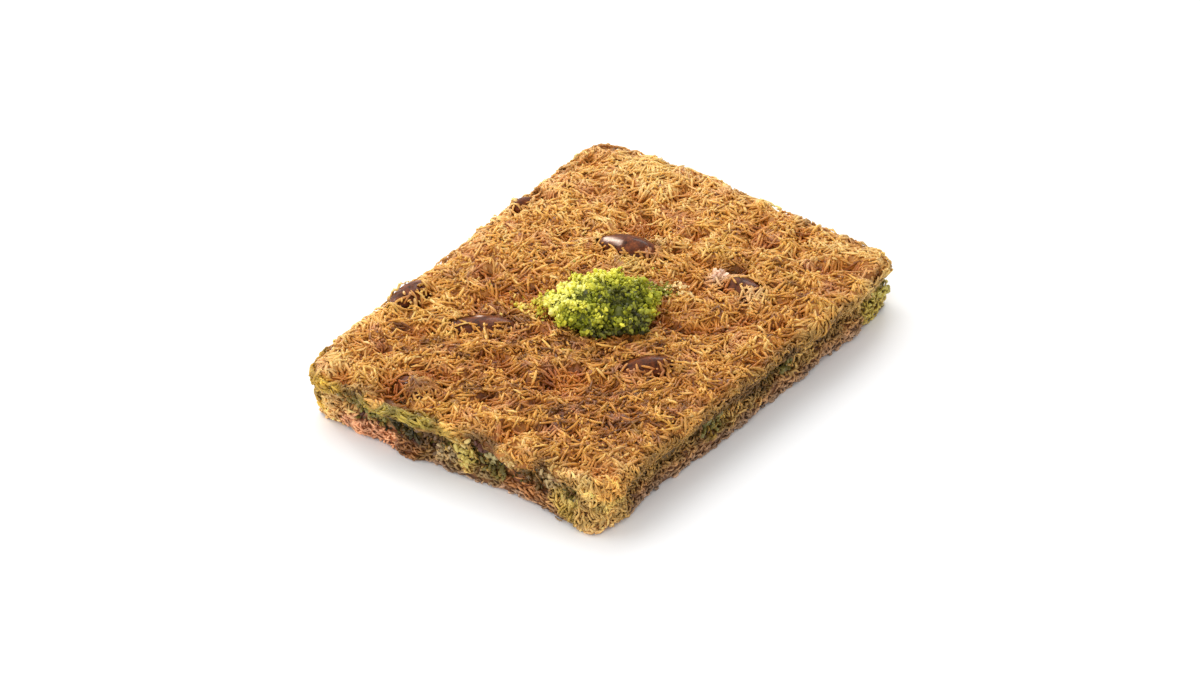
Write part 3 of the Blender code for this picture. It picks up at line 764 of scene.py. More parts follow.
sideZones = [
    ((166.0, 184.0), (0.0, 14.0), "gold", -0.4),
    ((168.0, 184.0), (0.0, 2.4), "cream", 0.0),
    ((172.0, 179.0), (5.4, 8.4), "goldOlive", -0.3),
    ((179.5, 184.5), (2.4, 9.6), "cream", 0.2),
    ((183.6, 190.0), (6.0, 14.8), "oliveBrown", -0.8),
    ((184.4, 190.0), (7.0, 13.6), "darkOlive", -0.5),
    ((183.0, 189.0), (3.2, 6.6), "cream", 0.4),
    ((183.5, 198.0), (0.8, 4.8), "rosy", 0.0),
    ((188.5, 198.0), (5.0, 9.2), "goldOlive", 0.1),
    ((189.5, 198.0), (9.2, 12.6), "yellowGreen", 0.4),
    ((197.0, 208.6), (10.6, 13.4), "yellowGreen", 0.6),
    ((197.0, 202.0), (5.0, 10.8), "darkOlive", -0.9),
    ((201.0, 205.5), (5.8, 10.8), "goldOlive", 0.0),
    ((198.0, 207.0), (0.8, 5.2), "russet", 0.0),
    ((204.0, 209.5), (0.0, 9.0), "shade", -0.4),
    ((208.5, 213.4), (7.0, 13.2), "goldOlive", -0.3),
    ((208.5, 214.5), (2.4, 6.8), "beige", 0.2),
    ((214.0, 218.2), (1.0, 10.4), "paleYellow", 0.2),
    ((213.8, 219.0), (10.6, 14.8), "oliveBrown", -0.5),
    ((218.0, 225.0), (8.0, 14.8), "shade", -0.6),
    ((218.0, 225.0), (1.2, 8.0), "goldOlive", -0.2),
    ((217.5, 224.0), (0.0, 2.6), "beige", 0.2),
    ((226.5, 230.0), (7.6, 12.8), "tan", 0.3),
    ((230.0, 234.5), (10.6, 14.4), "orangeBrown", -0.1),
    ((225.0, 237.0), (1.6, 7.6), "russet", 0.1),
    ((229.5, 236.0), (8.6, 12.8), "orangeBrown", 0.1),
    ((229.5, 236.0), (5.2, 8.6), "umber", -0.5),
    ((233.6, 238.4), (4.8, 13.4), "shade", -0.3),
    ((236.0, 241.5), (6.0, 10.6), "beige", 0.2),
    ((236.0, 242.0), (1.6, 5.6), "brown", 0.1),
    ((236.0, 243.0), (10.6, 13.0), "tan", 0.0),
    ((241.5, 249.0), (11.2, 14.0), "cream", 0.2),
    ((242.0, 246.5), (4.0, 9.4), "shade", -0.5),
    ((238.0, 242.0), (3.8, 8.4), "paleYellow", 0.2),
    ((241.5, 247.0), (0.0, 5.6), "goldOlive", 0.0),
    ((241.5, 247.0), (4.8, 6.6), "paleYellow", 0.2),
    ((245.5, 251.0), (7.0, 12.6), "paleGold", 0.3),
    ((250.0, 258.0), (7.5, 13.4), "orange", 0.1),
    ((250.0, 257.0), (5.4, 8.0), "paleYellow", 0.1),
    ((246.0, 260.0), (0.0, 5.6), "tan", 0.2),
    ((246.0, 257.0), (0.0, 2.0), "cream", 0.2),
    ((244.5, 248.5), (6.0, 8.6), "umber", -0.4),
    ((258.0, 263.0), (3.0, 6.0), "umber", -0.4),
    ((260.0, 272.0), (7.0, 13.4), "oliveBrown", 0.0),
    ((-1.0, 63.0), (10.0, 14.5), "cream", 0.4),
    ((61.0, 169.0), (10.0, 14.5), "cream", 0.3),
    ((4.0, 14.0), (5.4, 10.2), "yellowGreen", 0.2),
    ((16.0, 27.0), (1.0, 4.6), "rosy", 0.0),
    ((20.0, 31.0), (5.6, 9.0), "oliveBrown", -0.4),
    ((34.0, 43.0), (6.6, 10.4), "tan", 0.1),
    ((42.0, 57.0), (1.2, 6.2), "russet", 0.0),
    ((50.0, 62.0), (6.8, 10.4), "goldOlive", 0.1),
    ((80.0, 92.0), (1.0, 4.6), "rosy", 0.0),
    ((84.0, 96.0), (6.0, 10.4), "yellowGreen", 0.2),
    ((97.0, 106.0), (4.8, 9.6), "oliveBrown", -0.4),
    ((108.0, 116.0), (1.6, 6.8), "paleYellow", 0.0),
    ((118.0, 131.0), (6.8, 10.6), "tan", 0.1),
    ((121.0, 136.0), (1.2, 6.0), "russet", 0.0),
    ((138.0, 149.0), (5.2, 9.4), "goldOlive", 0.1),
    ((150.0, 162.0), (0.8, 4.8), "rosy", 0.0),
    ((152.0, 163.0), (7.0, 10.8), "yellowGreen", 0.2),
    ((-1.0, 5.0), (0.4, 6.6), "paleGreen", 0.1),
    ((270.0, 288.0), (7.6, 11.4), "oliveBrown", 0.0),
    ((283.0, 322.0), (6.6, 11.8), "shade", -0.2),
    ((321.0, 341.0), (6.0, 11.2), "oliveBrown", -0.1),
    ((284.0, 345.0), (11.2, 13.6), "oliveBrown", 0.0),
    ((286.5, 293.0), (6.4, 9.8), "darkOlive", -0.4),
    ((309.5, 318.0), (5.8, 9.8), "darkOlive", -0.4),
    ((329.0, 336.0), (5.8, 9.2), "shade", -0.3),
    ((288.0, 297.0), (3.0, 7.4), "goldOlive", 0.0),
    ((296.0, 306.0), (3.6, 6.2), "tan", 0.1),
    ((319.0, 328.0), (4.0, 7.4), "tan", 0.1),
    ((338.0, 347.0), (7.6, 11.4), "tan", 0.1),
    ((348.0, 364.4), (0.4, 7.0), "paleGreen", 0.2),
    ((346.0, 364.4), (7.0, 14.6), "paleGold", -0.2),
]
sideLook = {
    "raggedHigh": [(1.2, 4.5, 71), (0.7, 1.6, 72)],  # noise that moves colours up and down
    "raggedRound": [(1.2, 4.0, 73), (0.9, 1.5, 74)],  # and round the slab
    "patches": [(0.35, 2.4, 75), (0.2, 1.1, 76)],
    "darkest": 0.68,  # share of the colour for the lowest tone
    "toneReach": 0.62,  # how much more the highest tone has
    "edgeRound": 2.0,  # width of a zone's edges round the slab
    "edgeHigh": 0.8,  # and in height
}


def zoneShare(run, height, zone):
    # 1 inside the zone and 0 out of it, with a slope at each of its four edges
    (first, last), (low, high), _, _ = zone
    wide, tall = sideLook["edgeRound"], sideLook["edgeHigh"]
    share = slope(run - first, wide) * slope(last - run, wide)
    return share * slope(height - low, tall) * slope(high - height, tall)


def sideTints(run, height, tone):
    # the colour by height, and each zone's own over it, both with edges that noise makes ragged;
    # patches and a shred's own tone make it lighter or darker
    at = onPlan(run, height)
    height = height + noiseSum(at, sideLook["raggedHigh"])
    run = run + noiseSum(at, sideLook["raggedRound"])
    colours = colourAt([(level, sideColour[name]) for level, name in sideHeights], height)
    for zone in sideZones:
        colours = mixedIn(colours, sideColour[zone[2]], zoneShare(run, height, zone))
    patches = 1 + noiseSum(at, sideLook["patches"])
    return colours * (patches * (sideLook["darkest"] + sideLook["toneReach"] * tone))[..., None]


# the crust: a core, and four layers of bundles of shreds, each with how many bundles, how many
# shreds in each, how high they lie over the solid, what share of them has an end that stands up,
# their length and radius, how their headings scatter, and how many rings make a tube
crust = {
    # the core is tinted darker than the shreds by its tone, its darker share and its low depth:
    # painted shade for the gaps between shreds
    "core": {
        "sink": 0.62, "levels": (14.0, 9.4), "columns": 620, "rough": 0.45,
        "noise": [(1.0, 1.3, 3), (0.6, 0.7, 4)], "tone": 0.85, "darker": 0.8, "depth": 0.2,
    },
    "low": {
        "bundles": 1000, "each": 3, "lift": (-0.75, -0.3), "stray": 0.0, "length": (2.5, 6.5),
        "radius": (0.3, 0.46), "spread": 0.9, "rings": 4,
    },
    "middle": {
        "bundles": 1750, "each": 3, "lift": (-0.55, -0.05), "stray": 0.08, "length": (2.2, 6.8),
        "radius": (0.27, 0.43), "spread": 1.1, "rings": 5,
    },
    "high": {
        "bundles": 4300, "each": 1, "lift": (-0.35, 0.15), "stray": 0.2, "length": (1.6, 5.8),
        "radius": (0.25, 0.41), "spread": 1.3, "rings": 4,
    },
    "ends": {
        "bundles": 4600, "each": 1, "lift": (-0.35, 0.1), "stray": 0.7, "length": (0.5, 1.5),
        "radius": (0.22, 0.37), "spread": 2.5, "rings": 3,
    },
    "span": (119.0, 89.0),  # the plan that bundles are laid over
    "proportion": 86 / 116,  # how many rows of them for each column
    "heading": -0.94,
    "swirl": [(1.9, 11.0, 31)],  # noise by which headings turn
    "apart": 0.7,  # between neighbours in a bundle
    "scatter": {"aside": 0.2, "ahead": 0.9, "heading": 0.22},
    "lengthPower": 1.4,  # more short shreds than long ones
    "bend": 0.18,
    "wave": 0.06,
    "together": 0.6,  # how much of its lift a shred shares with its bundle
    "endsDown": 0.14,  # how much lower a shred's ends lie than its middle
    "strayRise": 1.0,  # how far a stray end stands up at most
    "strayLeast": 0.3,  # and at least, as a share of that
    "strayRim": {"inside": 1.5, "over": 2.0, "least": 0.15},  # where strays are held down
    "sway": 0.07,
    "swayTurn": 9.0,
    "swayPhase": 6.0,
    "straight": 0.75,  # how much of the relief between its ends a shred passes over
    "drape": 0.1,  # how far over a kernel's back it lies
    "drapeLift": 0.3,  # and how much of its own lift it keeps there
    "bareEdge": (0.75, 1.1),  # where shreds end at a kernel's bare part, as a share of it
    "moundEdge": 0.72,  # and under the mound
    # how far down the sides they come, at each run
    "hem": [(0, 8.6), (183, 8.6), (186, 11.4), (242, 11.4), (246, 8.6), (365, 8.6)],
    "slimmer": 0.45,  # how much slimmer a shred is at its tips
    "slimPower": 6,
    "around": 4,
    "flatness": 0.8,
    "tufts": [(0.3, 5.0, 41), (0.55, 2.3, 42)],
    "rimTufts": {"higher": 1.0, "from": 7.0, "over": 3.0},
    "pits": [(0.6, 3.2, 43), (0.5, 6.0, 44)],
    "pitLimit": 0.2,  # how low their noise is where pits begin
    "pitEdge": 0.25,  # how much lower it is where they are deepest
    "pitDepth": 1.5,
    "hollows": [  # middle in plan, reach and depth
        ((46.0, -34.9), 2.2, 2.2),
        ((29.4, -15.6), 2.8, 2.4),
        ((-30.0, -12.0), 1.5, 0.9),
        ((8.0, -27.0), 1.6, 0.9),
    ],
    "bundleTone": 0.65,  # how much of its tone a shred shares with its bundle
    "toneReach": 0.3,
    # a few shreds much darker and a few much paler, their own tone; the pale ones also stand for
    # painted glints of syrup
    "odd": {"darkShare": 0.08, "darker": 1.1, "paleShare": 0.1, "paler": 1.2},
    "overRim": {"inside": 2.4, "wide": 1.0, "top": 13.7, "tall": 1.1},  # where side colours begin
    "shade": {"relief": 0.7, "deepest": -1.25, "over": 1.5},  # what lies lower is shaded
    "stops": [
        (0.0, (0.94, 0.62, 0.22)),
        (0.25, (0.87, 0.48, 0.11)),
        (0.5, (0.70, 0.33, 0.055)),
        (0.75, (0.44, 0.178, 0.026)),
        (1.0, (0.18, 0.065, 0.010)),
    ],
    "deep": (0.62, 0.38, 0.2),
    "roughness": 0.45,
    "coat": 0.12,
    "contrast": 0.25,
    "glow": 0.3,
}
# how many rings make each part of a core, and how noise moves them
coreRings = {
    "top": 56,
    "edge": 13,
    "shoulder": 4,
    "side": 7,
    "level": 9,
    "overRim": 1.4,  # how far the top stands over the rim's height
    "still": 0.05,  # what is lower than this over the base stays as it is
    "moves": (0.5, 0.5, 1.0),
}


def tuftsAt(x, y):
    # the relief of the mat in millimetres: tufts from noise, higher along the rim, pits where
    # another noise is low, as deep as the pit depth within the pit edge, and the hollows
    flat = onPlan(x, y)
    rise = noiseSum(flat, crust["tufts"])
    _, _, away, _, _, _ = ringOf(x, y)
    rim = crust["rimTufts"]
    rise = rise * (1 + rim["higher"] * np.clip((away - rim["from"]) / rim["over"], 0, 1))
    pit = noiseSum(flat, crust["pits"])
    hollow = np.clip((-crust["pitLimit"] - pit) / crust["pitEdge"], 0, 1)
    for middle, reach, depth in crust["hollows"]:
        hollow = np.maximum(hollow, bell(x, y, middle, reach, 2) * depth / crust["pitDepth"])
    return rise - crust["pitDepth"] * hollow


def levelRing(run, share, height):
    # the inner rectangle's outline at one height, drawn in to this share of it
    nearX, nearY, _, _ = ringPlace(run)
    return np.stack([nearX * share, nearY * share, 0 * run + height], -1)


def coreShell(reachMap, topMap, core):
    # the solid under the shreds, as one grid: rings from the top's middle out to the rim, over the
    # shoulder, down the side to the base, and back to the base's middle; without a map of its top
    # it is level there and goes straight down
    run = np.arange(core["columns"]) / core["columns"] * ringLength
    nearX, nearY, outX, outY = ringPlace(run)
    (high, low), sink = core["levels"], core["sink"]
    if topMap is None:
        rows = [levelRing(run, share, high) for share in (0.0, 0.5, 1.0)]
        for height in np.linspace(high, low, coreRings["level"]):
            rows.append(onSide(run, 0 * run + height, 0 * run - sink, reachMap)[0])
    else:
        rows = []
        for share in np.linspace(0, 1, coreRings["top"])[:-1]:
            x, y = nearX * share, nearY * share
            rows.append(np.stack([x, y, topAt(x, y, topMap) + tuftsAt(x, y) - sink], -1))
        edge = rimAt(run, reachMap) - slab["shoulder"]
        arc = slab["shoulder"] * quarter
        depth = slab["rimHeight"] + coreRings["overRim"] - slab["shoulder"] - low
        distances = [edge * share for share in np.linspace(0, 1, coreRings["edge"])]
        for length, count in ((arc, coreRings["shoulder"]), (depth, coreRings["side"])):
            start = distances[-1]
            distances += [start + length * (step + 1) / count for step in range(count)]
        for distance in distances:
            x, y = nearX + outX * distance, nearY + outY * distance
            place, _ = onSkin(x, y, tuftsAt(x, y) - sink, reachMap, topMap)
            rows.append(np.maximum(place, [-np.inf, -np.inf, low]))
    rows += [levelRing(run, share, low) for share in (1.0, 0.5, 0.0)]
    grid = np.stack(rows)
    wobble = noiseSum(grid, core["noise"]) * core["rough"]
    wobble[[0, -1]] = 0
    wobble *= grid[..., 2] > low + coreRings["still"]
    return shellArrays(grid + wobble[..., None] * np.array(coreRings["moves"]))


def bareKernels(x, y, chance):
    # whether a shred would lie on the bare part of a kernel: the kernel's outline, moved and drawn
    # in as kernelBare says, and blurred by chance
    bare = np.zeros(len(x), bool)
    for name, kernel in kernels.items():
        (moveX, moveY), (lengthShare, widthShare), _ = kernelBare[name]
        shown = {**kernel, "half": [kernel["half"][0] * lengthShare, kernel["half"][1] * widthShare]}
        bare |= ellipseShare(x - moveX, y - moveY, shown, 0.0).min(1) < chance
    return bare


def kernelTops(x, y):
    # how high the kernels' backs stand at a place, so that shreds over them drape on them, and how
    # far a shred may be raised there
    tallest, limit = np.zeros(x.shape), np.full(x.shape, kernelCover["limit"])
    for name, kernel in kernels.items():
        share = ellipseShare(x, y, kernel, kernelCover["margin"])
        rise = (kernel["half"][2] + kernelCover["over"]) * np.sqrt(np.clip(1 - share**2, 0, 1))
        tallest = np.maximum(tallest, np.where(share < 1, kernel["centre"][2] + rise, 0))
        limit = np.where(share < 1, kernelBare[name][2], limit)
    return tallest, limit


def crustColours(path, tone):
    # the palette at each place's browning and each shred's own tone, moved towards each cast where
    # its noise is high, and round each spot to its own colour; over the rim and down, the sides'
    # colours take over
    x, y, height = path[..., 0], path[..., 1], path[..., 2]
    colours = colourAt(crust["stops"], bakeAt(path) + (tone[:, None] - 0.5) * crust["toneReach"])
    for cast in browning["casts"]:
        strength = np.clip(noiseSum(path, cast["noise"]) - cast["limit"], 0, 1)
        colours = mixedIn(colours, cast["colour"], strength * cast["share"])
    for middle, reach, colour, share in browning["spots"]:
        colours = mixedIn(colours, colour, share * bell(x, y, middle, reach))
    _, _, away, _, _, run = ringOf(x, y)
    rim = crust["overRim"]
    over = np.clip((away - rimAt(run, reachAll) + rim["inside"]) / rim["wide"], 0, 1)
    over = over * np.clip((rim["top"] - height) / rim["tall"], 0, 1)
    onSides = sideTints(run, height, 0 * run + np.clip(tone, 0, 1)[:, None])
    return colours + (onSides - colours) * over[..., None]


def bundledShreds(draw, kind):
    # the shreds' middles and headings: bundles jittered on a grid so that they spread evenly, each
    # headed by chance about a slowly turning heading, and its shreds side by side but scattered a
    # little; with them each shred's tone, lift, bend and wave, which a bundle shares
    wide, deep = crust["span"]
    rows = round(math.sqrt(kind["bundles"] * crust["proportion"]))
    columns = round(kind["bundles"] / rows)
    cellX, cellY = np.meshgrid(np.arange(columns), np.arange(rows))
    x = ((cellX.ravel() + draw.uniform(0, 1, cellX.size)) / columns - 0.5) * wide
    y = ((cellY.ravel() + draw.uniform(0, 1, cellX.size)) / rows - 0.5) * deep
    swirl = noiseSum(onPlan(x, y), crust["swirl"])
    heading = swirl + crust["heading"] + draw.normal(0, kind["spread"], len(x))
    tone, lift = draw.uniform(0, 1, (2, len(x)))
    bend, wave = crust["bend"] * draw.normal(0, 1, len(x)), crust["wave"] * draw.normal(0, 1, len(x))
    drawn = [np.repeat(values, kind["each"]) for values in (x, y, heading, tone, lift, bend, wave)]
    x, y, heading = drawn[:3]
    scatter = crust["scatter"]
    place = np.tile(np.arange(kind["each"]) - (kind["each"] - 1) / 2, len(x) // kind["each"])
    aside = place * crust["apart"] + draw.normal(0, scatter["aside"], len(x))
    ahead = draw.normal(0, scatter["ahead"], len(x))
    x = x - np.sin(heading) * aside + np.cos(heading) * ahead
    y = y + np.cos(heading) * aside + np.sin(heading) * ahead
    return x, y, heading + draw.normal(0, scatter["heading"], len(x)), *drawn[3:]


def strayLift(draw, kind, x, y, share):
    # how far the far ends of stray shreds stand up, by the square of the way along, and less at
    # the rim
    rim = crust["strayRim"]
    stray = draw.uniform(0, 1, len(x)) < kind["stray"]
    stray = stray * draw.uniform(crust["strayLeast"], 1, len(x))
    _, _, away, _, _, run = ringOf(x[:, 0], y[:, 0])
    inside = rimAt(run, reachAll) - rim["inside"] - away
    stray = stray * np.clip(inside / rim["over"], rim["least"], 1)
    return (stray * crust["strayRise"])[:, None] * (share + 0.5) ** 2


def crustShreds(name, kind, seed, finish):
    # bundles of shreds all over the top; those near the rim run over it and down the side as far
    # as the hem, ends tuck down, and a few stray ends stand up. Each lies on the relief, straighter
    # than it, and drapes over the kernels
    draw = np.random.default_rng(seed)
    x, y, heading, bundleTone, bundleLift, bend, wave = bundledShreds(draw, kind)
    total = len(x)
    least, most = kind["length"]
    length = least + draw.uniform(0, 1, total) ** crust["lengthPower"] * (most - least)
    x, y, share = flowPaths(draw, x, y, heading, length, bend, wave, kind["rings"])
    least, most = kind["lift"]
    together = crust["together"]
    own = together * bundleLift + (1 - together) * draw.uniform(0, 1, total)
    lift = (least + (most - least) * own)[:, None] - crust["endsDown"] * (2 * share) ** 2
    lift = lift + strayLift(draw, kind, x, y, share)
    phase = draw.uniform(0, crust["swayPhase"], (total, 1))
    lift = lift + crust["sway"] * np.sin(crust["swayTurn"] * share + phase)
    together, odd = crust["bundleTone"], crust["odd"]
    tone = together * bundleTone + (1 - together) * draw.uniform(0, 1, total)
    chance = draw.uniform(0, 1, total)
    tone = tone + odd["darker"] * (chance > 1 - odd["darkShare"])
    tone = tone - odd["paler"] * (chance < odd["paleShare"])
    kept = ~bareKernels(x, y, draw.uniform(*crust["bareEdge"], total))
    kept &= ellipseShare(x, y, moundForm, 0.0).min(1) > crust["moundEdge"]
    x, y, lift, tone = x[kept], y[kept], lift[kept], tone[kept]
    relief = tuftsAt(x, y)
    level = relief[:, :1] + (relief[:, -1:] - relief[:, :1]) * (share + 0.5)
    relief = relief + (level - relief) * crust["straight"]
    path, normal = onSkin(x, y, lift + relief)
    back, limit = kernelTops(x, y)
    drape = back + crust["drape"] + crust["drapeLift"] * (lift - least)
    raised = np.maximum(drape - path[..., 2], 0) * (back > 0)
    path[..., 2] += raised
    _, _, _, _, _, run = ringOf(path[:, 0, 0], path[:, 0, 1])
    kept = path[..., 2].min(1) > np.interp(run, *zip(*crust["hem"]))
    kept &= (raised < limit).all(1)
    path, normal, tone = path[kept], normal[kept], tone[kept]
    slim = 1 - crust["slimmer"] * (2 * share) ** crust["slimPower"]
    radius = draw.uniform(*kind["radius"], len(path))[:, None] * slim
    around, shade = crust["around"], crust["shade"]
    places, faceSets = tubeArrays(path, normal, radius, around, crust["flatness"])
    low = lift[kept] + shade["relief"] * relief[kept]
    marks = {
        "tint": perPoint(crustColours(path, tone), around),
        "depth": perPoint(np.clip((low - shade["deepest"]) / shade["over"], 0, 1), around),
    }
    meshPiece(name, places, faceSets, finish, (), marks)


baked = foodFinish("bakedShreds", crust)
core = crust["core"]
corePlaces, coreFaces = coreShell(reachOf["top_pastry"], pocketGrid, core)
coreTone = np.full(len(corePlaces), core["tone"])
# painted shade: the core shows in the gaps between shreds, so its colour is darkened
coreMarks = {
    "tint": crustColours(corePlaces[:, None], coreTone)[:, 0] * core["darker"],
    "depth": core["depth"] + 0 * coreTone,
}
meshPiece("crust_core", corePlaces, coreFaces, baked, ["top_pastry"], coreMarks)
for number, kind in enumerate(("low", "middle", "high", "ends")):
    crustShreds("crust_shreds_" + kind, crust[kind], seeds["crust"] + number, baked)
print("crust done")

# shreds on the sides: how many, in which heights, how they head (0 is level, and a quarter turn
# is straight down) and how they differ from that, their length and radius, how far they stand out
# of the solid, and the runs that they keep to
sides = {
    "coverShare": [  # how much of the filling is covered by shreds at each run
        (0, 0.9), (168, 0.9), (171, 1.0), (182, 1.0), (187, 0.4), (224, 0.3), (230, 0.6),
        (240, 0.6), (247, 1.0), (285, 1.0), (288, 0.6), (293, 0.6), (296, 1.0), (350, 1.0),
        (355, 0.7), (365, 0.9),
    ],
    "coverNoise": [(0.4, 4.0, 81)],
    "rim": {
        "count": 2000, "heights": (9.2, 12.7), "heading": 0.5, "spread": 0.9,
        "length": (1.4, 3.8), "radius": (0.2, 0.36), "lift": (-0.6, 0.2),
    },
    "cover": {
        "count": 4200, "heights": (3.6, 11.4), "heading": 1.2, "spread": 0.75,
        "length": (1.0, 3.2), "radius": (0.2, 0.36), "lift": (-0.5, 0.3), "covers": True,
    },
    "ridge": {
        "count": 260, "heights": (9.8, 13.0), "heading": 0.1, "spread": 0.5,
        "length": (1.8, 5.0), "radius": (0.26, 0.42), "lift": (-0.3, 0.9), "runs": (193.0, 214.0),
    },
    "fringe": {
        "count": 420, "heights": (1.0, 13.2), "heading": 1.2, "spread": 0.6,
        "length": (1.4, 3.8), "radius": (0.2, 0.38), "lift": (-0.4, 0.8), "runs": (241.0, 261.0),
    },
    "corner": {
        "count": 330, "heights": (1.5, 13.0), "heading": 1.0, "spread": 0.8,
        "length": (1.6, 3.8), "radius": (0.24, 0.42), "lift": (-0.8, 0.1), "runs": (169.0, 187.0),
    },
    "bottom": {
        "count": 2400, "heights": (0.1, 4.6), "heading": 0.0, "spread": 0.7,
        "length": (1.2, 3.4), "radius": (0.2, 0.36), "lift": (-0.55, 0.3),
    },
    "core": {
        "sink": 0.7, "levels": (4.1, 0.02), "columns": 300, "rough": 0.25,
        "noise": [(1.0, 1.3, 4), (0.6, 0.7, 5)], "tone": 0.2, "depth": 0.0,
    },
    "inLayer": (0.25, 0.2),  # how far shreds stay over and under their layer's limits
    "rings": 4,
    "around": 4,
    "flatness": 0.85,
    "bend": 0.25,
    "wave": 0.1,
    "endsIn": 0.3,  # how much deeper a shred's ends lie than its middle
    "slimmer": 0.4,
    "slimPower": 6,
    "shade": {"deepest": -1.1, "over": 1.2},
    "deep": (0.62, 0.44, 0.3),
    "roughness": 0.42,
    "coat": 0.25,
    "contrast": 0.35,
    "glow": 0.0,
}


def sideShreds(name, kind, reachMap, seed, finish):
    # shreds on a side, in a layer's height: each follows the solid's side, and is as deep in it or
    # as far out of it as its own lift; where they cover the filling, only the share of them is
    # kept that the cover has there
    draw = np.random.default_rng(seed)
    count = kind["count"]
    first, last = kind.get("runs", (0.0, ringLength))
    run = first + (last - first) * (np.arange(count) + draw.uniform(0, 1, count)) / count
    low, high = kind["heights"]
    height = draw.uniform(low, high, count)
    heading = kind["heading"] * draw.choice([-1, 1], count) + draw.normal(0, kind["spread"], count)
    if kind.get("covers"):
        share = np.interp(run, *zip(*sides["coverShare"]))
        share = share + noiseSum(onPlan(run, height), sides["coverNoise"])
        kept = draw.uniform(0, 1, count) < share
        run, height, heading = run[kept], height[kept], heading[kept]
        count = len(run)
    length = draw.uniform(*kind["length"], count)
    bend, wave = sides["bend"] * draw.normal(0, 1, count), sides["wave"] * draw.normal(0, 1, count)
    run, height, share = flowPaths(draw, run, height, heading, length, bend, wave, sides["rings"])
    over, under = sides["inLayer"]
    height = np.clip(height, low + over, high - under)
    lift = draw.uniform(*kind["lift"], count)[:, None] - sides["endsIn"] * (2 * share) ** 2
    path, normal = onSide(run, height, lift, reachMap)
    slim = 1 - sides["slimmer"] * (2 * share) ** sides["slimPower"]
    radius = draw.uniform(*kind["radius"], count)[:, None] * slim
    around, shade = sides["around"], sides["shade"]
    places, faceSets = tubeArrays(path, normal, radius, around, sides["flatness"])
    tone = np.broadcast_to(draw.uniform(0, 1, (count, 1)), lift.shape)
    marks = {
        "tint": perPoint(sideTints(run, height, tone), around),
        "depth": perPoint(np.clip((lift - shade["deepest"]) / shade["over"], 0, 1), around),
    }
    meshPiece(name, places, faceSets, finish, (), marks)


def levelCore(name, node, core, finish):
    # the core of a layer that shows at the sides only, in the sides' colours
    places, faceSets = coreShell(reachOf[node], None, core)
    _, _, _, _, _, run = ringOf(places[:, 0], places[:, 1])
    marks = {
        "tint": sideTints(run, places[:, 2], core["tone"] + 0 * run),
        "depth": core["depth"] + 0 * run,
    }
    meshPiece(name, places, faceSets, finish, [node], marks)


syrup = foodFinish("syrupShreds", sides)
for number, kind in enumerate(("rim", "cover", "ridge", "fringe", "corner")):
    seed = seeds["sides"] + number
    sideShreds("side_shreds_" + kind, sides[kind], reachAll, seed, baked)
levelCore("bottom_core", "bottom_pastry", sides["core"], syrup)
sideShreds("bottom_shreds", sides["bottom"], reachOf["bottom_pastry"], seeds["bottom"], syrup)
print("sides done")

